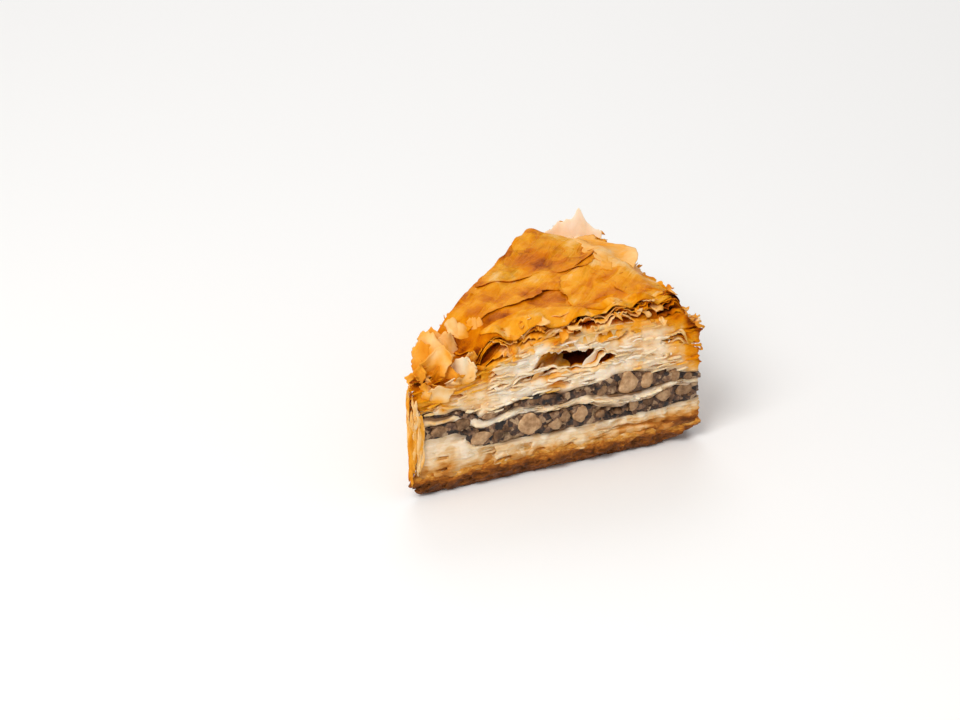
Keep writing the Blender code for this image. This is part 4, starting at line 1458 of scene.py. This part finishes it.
# foot in mm, direction it faces in degrees, tilt, length, width, cup, curl, toast; the toast differs
# from petal to petal partly as real browning and partly as painted light and shade
PETALS = (
    ((-46.5, -16.9, 29.6), -140, 100, 8.2, 8.5, 1.8, 1.0, 0.42),
    ((-45.6, -19.6, 29.2), -120, 104, 7.2, 7.0, -1.6, -1.2, 0.46),
    ((-41.0, -17.0, 30.2), -92, 98, 6.6, 5.0, 1.0, 0.6, 0.38),
    ((-43.8, -20.2, 26.8), -110, 84, 5.4, 6.0, -1.6, 0.4, 0.62),
    ((-39.8, -20.9, 26.6), -112, 92, 6.6, 6.8, 0.7, -0.5, 0.24),
    ((-37.6, -13.9, 33.0), -112, 118, 5.8, 5.6, 0.9, 0.8, 0.44),
    ((-32.7, -13.8, 32.8), -102, 108, 6.4, 4.4, 0.8, 0.7, 0.44),
    ((-51.0, -19.3, 26.8), -135, 95, 5.4, 4.8, 0.8, 0.4, 0.50),
    ((-46.2, -21.4, 23.4), -104, 86, 5.2, 7.6, 0.7, -0.8, 0.28),
    ((-48.0, -15.2, 28.6), -150, 92, 8.8, 7.0, 1.2, 0.9, 0.52),
    ((-42.6, -14.6, 31.8), -110, 102, 5.6, 6.0, 1.2, 0.8, 0.50),
    ((-42.2, -21.2, 26.4), -100, 66, 2.8, 3.8, 0.4, 0.3, 0.34),
    ((-46.4, -21.0, 26.0), -125, 66, 3.4, 5.2, 0.6, 0.4, 0.42),
    ((-37.1, -19.6, 30.0), -84, 72, 4.2, 3.2, 0.5, 0.4, 0.42),
    ((-49.4, -20.8, 24.2), -120, 80, 4.4, 4.0, 0.6, 0.5, 0.46),
)
petals = [flake(*p[:7], 920 + 7 * i, p[7], 26, 26) for i, p in enumerate(PETALS)]
make_piece("petal_flakes", petals, LOOSE_FLAKES, ["top_pastry"])

# %% [markdown]
# ## Membranes in the air pocket
# Where the stack opened in the oven, a few wet skins of dough were drawn out between the floor and
# the roof of the hollow and dried there. Each is a strip whose foot and head are given on the
# front face, narrower at the head.


# %% Membranes
def membrane(s_foot, z_foot, s_head, z_head, inset, width, seed, toast):
    """A thin skin stretched between the floor and the roof of a gap, wavy and slightly twisted."""
    u, v = unit_grid(16, 12)
    s = s_foot + (s_head - s_foot) * v + width * (u - 0.5) * (0.6 + 0.6 * (1 - v))
    z = z_foot + (z_head - z_foot) * v + 0.9 * (u - 0.5) + 0.3 * noise(u * 5, v * 4, 0.0, 1.8, seed)
    deep = inset + 1.2 * u + 0.5 * np.sin(np.pi * v) + 0.5 * noise(u * 5, v * 4, 0.0, 2.0, seed + 1)
    middle = np.stack([*front_point(s, deep), z], axis=-1)
    return strip_sheet(middle, 0.18, toast + 0.1 * noise(u * 5, v * 5, 0.0, 2.0, seed + 2))


membranes = [
    membrane(45.8, 23.0, 48.4, 28.8, 0.8, 4.2, 1000, 0.08),
    membrane(33.0, 22.2, 34.0, 26.4, 0.9, 4.0, 1020, 0.30),
    membrane(29.6, 21.6, 31.4, 24.6, 0.9, 4.4, 1030, 0.22),
    membrane(46.0, 22.4, 49.0, 25.0, 2.2, 5.0, 1040, 0.44),
]
make_piece("pocket_membranes", membranes, LOOSE_FLAKES, ["top_pastry"])

# %% [markdown]
# ## Folded corner strips
# As the piece was cut, the crisp outer sheets at the sharp corner were folded down over its end,
# where they split into narrow upright strips that overlap and end in torn points. Each strip
# follows the outline for a millimetre or two and swells outwards in slanting folds. A loop steps
# them round the corner, and draws their widths, heights and browning by chance, lower and paler
# towards the front.


# %% Corner strips
def corner_strip(start, width, low, high, out, seed, toast):
    """An upright strip: the outline from a start over a width, both shares of it, pushed out by folds."""
    u, v = unit_grid(16, 26)
    wander = 0.0022 * noise(v * 9, 0.0, u, 3.0, seed + 7) + 0.0012 * noise(v * 9, 0.0, 3 * u, 0.9, seed + 8)
    tail = 0.35 + 0.65 * ramp(v, 0.0, 0.45)
    theta = direction_at(start + width * u * tail + wander)
    radius = outline(theta)
    x0, y0 = radius * np.cos(theta), radius * np.sin(theta)
    spikes = 1.6 * noise(u * 3, 0.0, 0.0, 1.6, seed) + 1.4 * noise(u * 3, 0.0, 0.0, 0.6, seed + 1)
    top = high + spikes
    z = low + 0.8 * noise(u * 8, 0.0, 0.0, 1.2, seed + 2) + (top - low) * v
    lean = u * 3 + 1.2 * noise(0.0, z * 0.5, 0.0, 2.0, seed + 6)
    folds = 0.40 * noise(lean, z * 0.3, 0.0, 1.5, seed + 3) + 0.14 * noise(lean, z * 0.6, 0.0, 0.6, seed + 4)
    away = (out + folds + 0.8 * v**3) * np.abs(np.sin(math.pi * (0.08 + 0.84 * u))) ** 0.4
    middle = np.stack([x0 + away * np.cos(theta), y0 + away * np.sin(theta), z], axis=-1)
    # Painted shade: browner towards the foot of the strip, where less light falls, and in the hollows of its
    # folds.
    tone = toast + 0.12 * (1 - v) + 0.14 * noise(lean, z * 0.4, 0.0, 1.2, seed + 5)
    return strip_sheet(middle, 0.22, tone + 0.14 * ramp(folds, 0.1, -0.3))


STRIPS = 15
SHARP = int(np.argmin(from_sharp_corner(*at_inset(0.0)))) / COLUMNS  # where the corner is on the outline
rng = np.random.default_rng(1100)
corner_strips = []
for i in range(STRIPS):
    start, width = SHARP - 0.012 + 0.0016 * i, rng.uniform(0.003, 0.007)
    front_side = ramp(i, 7.0, 13.0)
    low, high = rng.uniform(4.0, 11.0) + 2.0 * front_side, rng.uniform(20.5, 27.0) - 2.5 * front_side
    out, toast = rng.uniform(0.05, 0.45) - 0.2 * front_side, rng.uniform(0.36, 0.52) - 0.14 * front_side
    corner_strips.append(corner_strip(start, width, low, high, out, 1100 + 10 * i, toast))
make_piece("corner_strips", corner_strips, LOOSE_FLAKES, ["top_pastry"])

# %% [markdown]
# ## Knife shreds
# A knife that goes through hundreds of brittle sheets drags short shreds of them along the cut.
# They are too small to place one by one, so a loop scatters a few hundred, each only two
# faces high, over all three faces, in the browning of the sheets around them.


# %% Shreds along the cuts
def shred(part, z, length, high, slope, seed, toast, inset):
    """A short strip lying along a cut face, wavy, one edge standing out a little from the face."""
    u, v = unit_grid(9, 3)
    theta = direction_at(part + (u - 0.5) * length / PERIMETER)
    radius = outline(theta)
    body = np.sin(math.pi * (0.1 + 0.8 * u)) ** 0.6
    wave = 0.3 * noise(u * length, 0.0, z, 1.5, seed)
    height = z + slope * (u - 0.5) * length + wave + high * (v - 0.5) * body
    depth = inset + 0.25 * noise(u * length, v * 2, z, 1.2, seed + 1) - 0.35 * (1.0 - v) * body
    scale = 1.0 - depth / INRADIUS
    middle = np.stack([radius * np.cos(theta) * scale, radius * np.sin(theta) * scale, height], axis=-1)
    return strip_sheet(middle, 0.16, toast)


def shreds(count, smallest, biggest, seed):
    """Shreds over the pastry of all three cut faces, in the colour of the sheets around them."""
    rng = np.random.default_rng(seed)
    made = []
    for i in range(count):
        part, level = rng.uniform(), rng.uniform(0.02, 0.95)
        x, y = (np.array(v) for v in rim_point(part, 0.5))
        floor, ceiling = float(layer_4(x, y)), float(WALL[int(part * COLUMNS) % COLUMNS])
        # Nine patterns of browning are enough for neighbours to differ.
        toast = float(inner_toast(x, y, level, 400 + i % 9)) + rng.uniform(-0.08, 0.12)
        z = floor + (ceiling - floor) * level + float(parting(x, y, level))
        length, high, slope = rng.uniform(smallest, biggest), rng.uniform(0.2, 0.6), rng.uniform(-0.12, 0.12)
        made.append(shred(part, z, length, high, slope, seed + 5 * i, toast, rng.uniform(0.15, 0.7)))
    return made


make_piece("knife_shreds", shreds(360, 1.5, 5.5, 6000), CUT_EDGES, ["top_pastry"])

# %% [markdown]
# ## Scraps and splinters
# Whatever breaks off stays near where it broke: little curled scraps on the cut faces, and
# splinters of the crisp sheets down the shoulders of the front and the side. They are the same
# flake as the petals, with only a few dozen faces each. None starts where the stack has opened,
# as it would hang in the air.


# %% Small flakes all round
def small_flakes(count, low, high, smallest, biggest, toast_range, seed):
    """Little curled scraps on the cut faces between two levels, pointing outwards."""
    rng = np.random.default_rng(seed)
    scraps = []
    for i in range(count):
        part, level = rng.uniform(), rng.uniform(low, high)
        x, y = (np.array(v) for v in rim_point(part, rng.uniform(0.5, 1.2)))
        floor, ceiling = float(layer_4(x, y)), float(dome(x, y))
        if painted_opening_shade(x, y, level) > 0.1:
            continue
        facing = math.degrees(math.atan2(y, x)) + rng.uniform(-70, 70)
        size = rng.uniform(smallest, biggest)
        place = (x, y, floor + (ceiling - floor) * level)
        tilt, wide, curl = rng.uniform(25, 80), size * rng.uniform(0.6, 1.6), rng.uniform(-0.3, 0.6)
        toast = rng.uniform(*toast_range)
        scraps.append(flake(place, facing, tilt, size, wide, 0.3, curl, seed + 9 * i, toast, 5, 6, 0.14))
    return scraps


HOLLOW = 22.5  # the tall arch in the golden sheets of the front, which stays clear


def shoulder_shards(count, smallest, biggest, toast_range, seed):
    """Splinters of the crisp sheets, lying down the shoulder where their edges broke up."""
    rng = np.random.default_rng(seed)
    shards = []
    for i in range(count):
        part = rng.uniform()
        x, y = rim_point(part, rng.uniform(0.4, 0.6 + 1.5 * STEP[int(part * COLUMNS) % COLUMNS]))
        here = np.array(x), np.array(y)
        top = dome(*here) + crumple(*here) + lifted_by(*here, GOLDEN_SHEETS, 0.0)
        place = (x, y, float(top) - rng.uniform(0.1, 1.0))
        nearest = int(np.argmin(insets(x, y)))
        length = rng.uniform(smallest, biggest)
        if nearest == CUT or abs(along_front(x) - HOLLOW) < 4.0:
            continue
        facing, tilt = math.degrees(FACES[nearest]) + rng.uniform(-80, 80), rng.uniform(-45, 10)
        wide, curl = length * rng.uniform(0.4, 1.3), rng.uniform(-0.4, 0.5)
        toast = rng.uniform(*toast_range)
        shards.append(flake(place, facing, tilt, length, wide, 0.3, curl, seed + 9 * i, toast, 6, 7, 0.12))
    return shards


scraps = small_flakes(50, 0.72, 0.95, 1.0, 2.0, (0.46, 0.66), 2000)
scraps += shoulder_shards(170, 1.0, 3.2, (0.34, 0.60), 8000)
scraps += small_flakes(70, 0.05, 0.70, 0.7, 1.4, (0.10, 0.36), 4000)
make_piece("edge_scraps", scraps, LOOSE_FLAKES, ["top_pastry"])

# %% [markdown]
# ## The stage
# A plain pale floor and soft studio light: a wide soft panel high at the left and in front, a weak
# one behind that draws the edge of the top, and a bright surrounding room that fills the shadows.

# %% The floor
FLOOR_HALF = 3.0  # metres, wide enough that its edge is never seen
floor_corners = [(x * FLOOR_HALF, y * FLOOR_HALF, 0) for x, y in ((-1, -1), (1, -1), (1, 1), (-1, 1))]
floor_mesh = bpy.data.meshes.new("floor")
floor_mesh.from_pydata(floor_corners, [], [(0, 1, 2, 3)])
floor = bpy.data.objects.new("floor", floor_mesh)
bpy.context.scene.collection.objects.link(floor)
PALE, tree, shader = start_material("pale_table_paint")
fill(tree, shader, {"Base Color": linear("#f4f3f2"), "Roughness": 0.6, "Specular IOR Level": 0.2})
floor_mesh.materials.append(PALE)
print("floor, metres across:", 2 * FLOOR_HALF)


# %% The light
def area_light(name, place, aim, size, watts, colour=(1.0, 1.0, 1.0)):
    """A soft panel at a place in metres, turned to look at a point."""
    data = bpy.data.lights.new(name, "AREA")
    data.energy, data.size, data.color = watts, size, colour
    lamp = bpy.data.objects.new(name, data)
    lamp.location = place
    lamp.rotation_euler = (Vector(aim) - Vector(place)).to_track_quat("-Z", "Y").to_euler()
    bpy.context.scene.collection.objects.link(lamp)
    print(name, round((Vector(place) - Vector(aim)).length, 2), "m away")


centre = (cad_box[0] + cad_box[1]) / 2
area_light("key_panel", (-0.45, -0.30, 0.62), centre, 0.40, 4.4, (1.0, 0.985, 0.96))
area_light("back_panel", (0.20, 0.55, 0.50), centre, 0.40, 1.0)

world = bpy.data.worlds.new("studio")
bpy.context.scene.world = world
world.use_nodes = True
world.node_tree.nodes["Background"].inputs["Color"].default_value = (1.0, 1.0, 1.0, 1.0)
world.node_tree.nodes["Background"].inputs["Strength"].default_value = 0.55
bpy.context.scene.view_settings.view_transform = "Standard"

# %% [markdown]
# ## The camera
# A long lens from a little under a metre flattens the piece slightly, as food is usually shown.
# The camera looks down by 26 degrees, so the top and the front cut both show, and aims to the left
# of the middle, which sets the piece a little to the right.

# %% The camera
AZIMUTH, ELEVATION, DISTANCE = math.radians(-26.5), math.radians(26.0), 0.85
LENS, AIM_LEFT = 135.5, 0.0234  # focal length in mm, and metres to the left of the target
level = math.cos(ELEVATION)
back = Vector((math.sin(AZIMUTH) * level, -math.cos(AZIMUTH) * level, math.sin(ELEVATION)))
target = Vector((0.0, 0.0, 0.015))
left = Vector((-math.cos(AZIMUTH), -math.sin(AZIMUTH), 0.0))
camera_data = bpy.data.cameras.new("camera")
camera_data.lens = LENS
camera = bpy.data.objects.new("camera", camera_data)
camera.location = target + back * DISTANCE
aim = target + left * AIM_LEFT
camera.rotation_euler = (aim - camera.location).to_track_quat("-Z", "Y").to_euler()
camera_data.clip_start, camera_data.clip_end = 0.05, 10.0
bpy.context.scene.collection.objects.link(camera)
bpy.context.scene.camera = camera
print("camera, metres from its target:", DISTANCE)
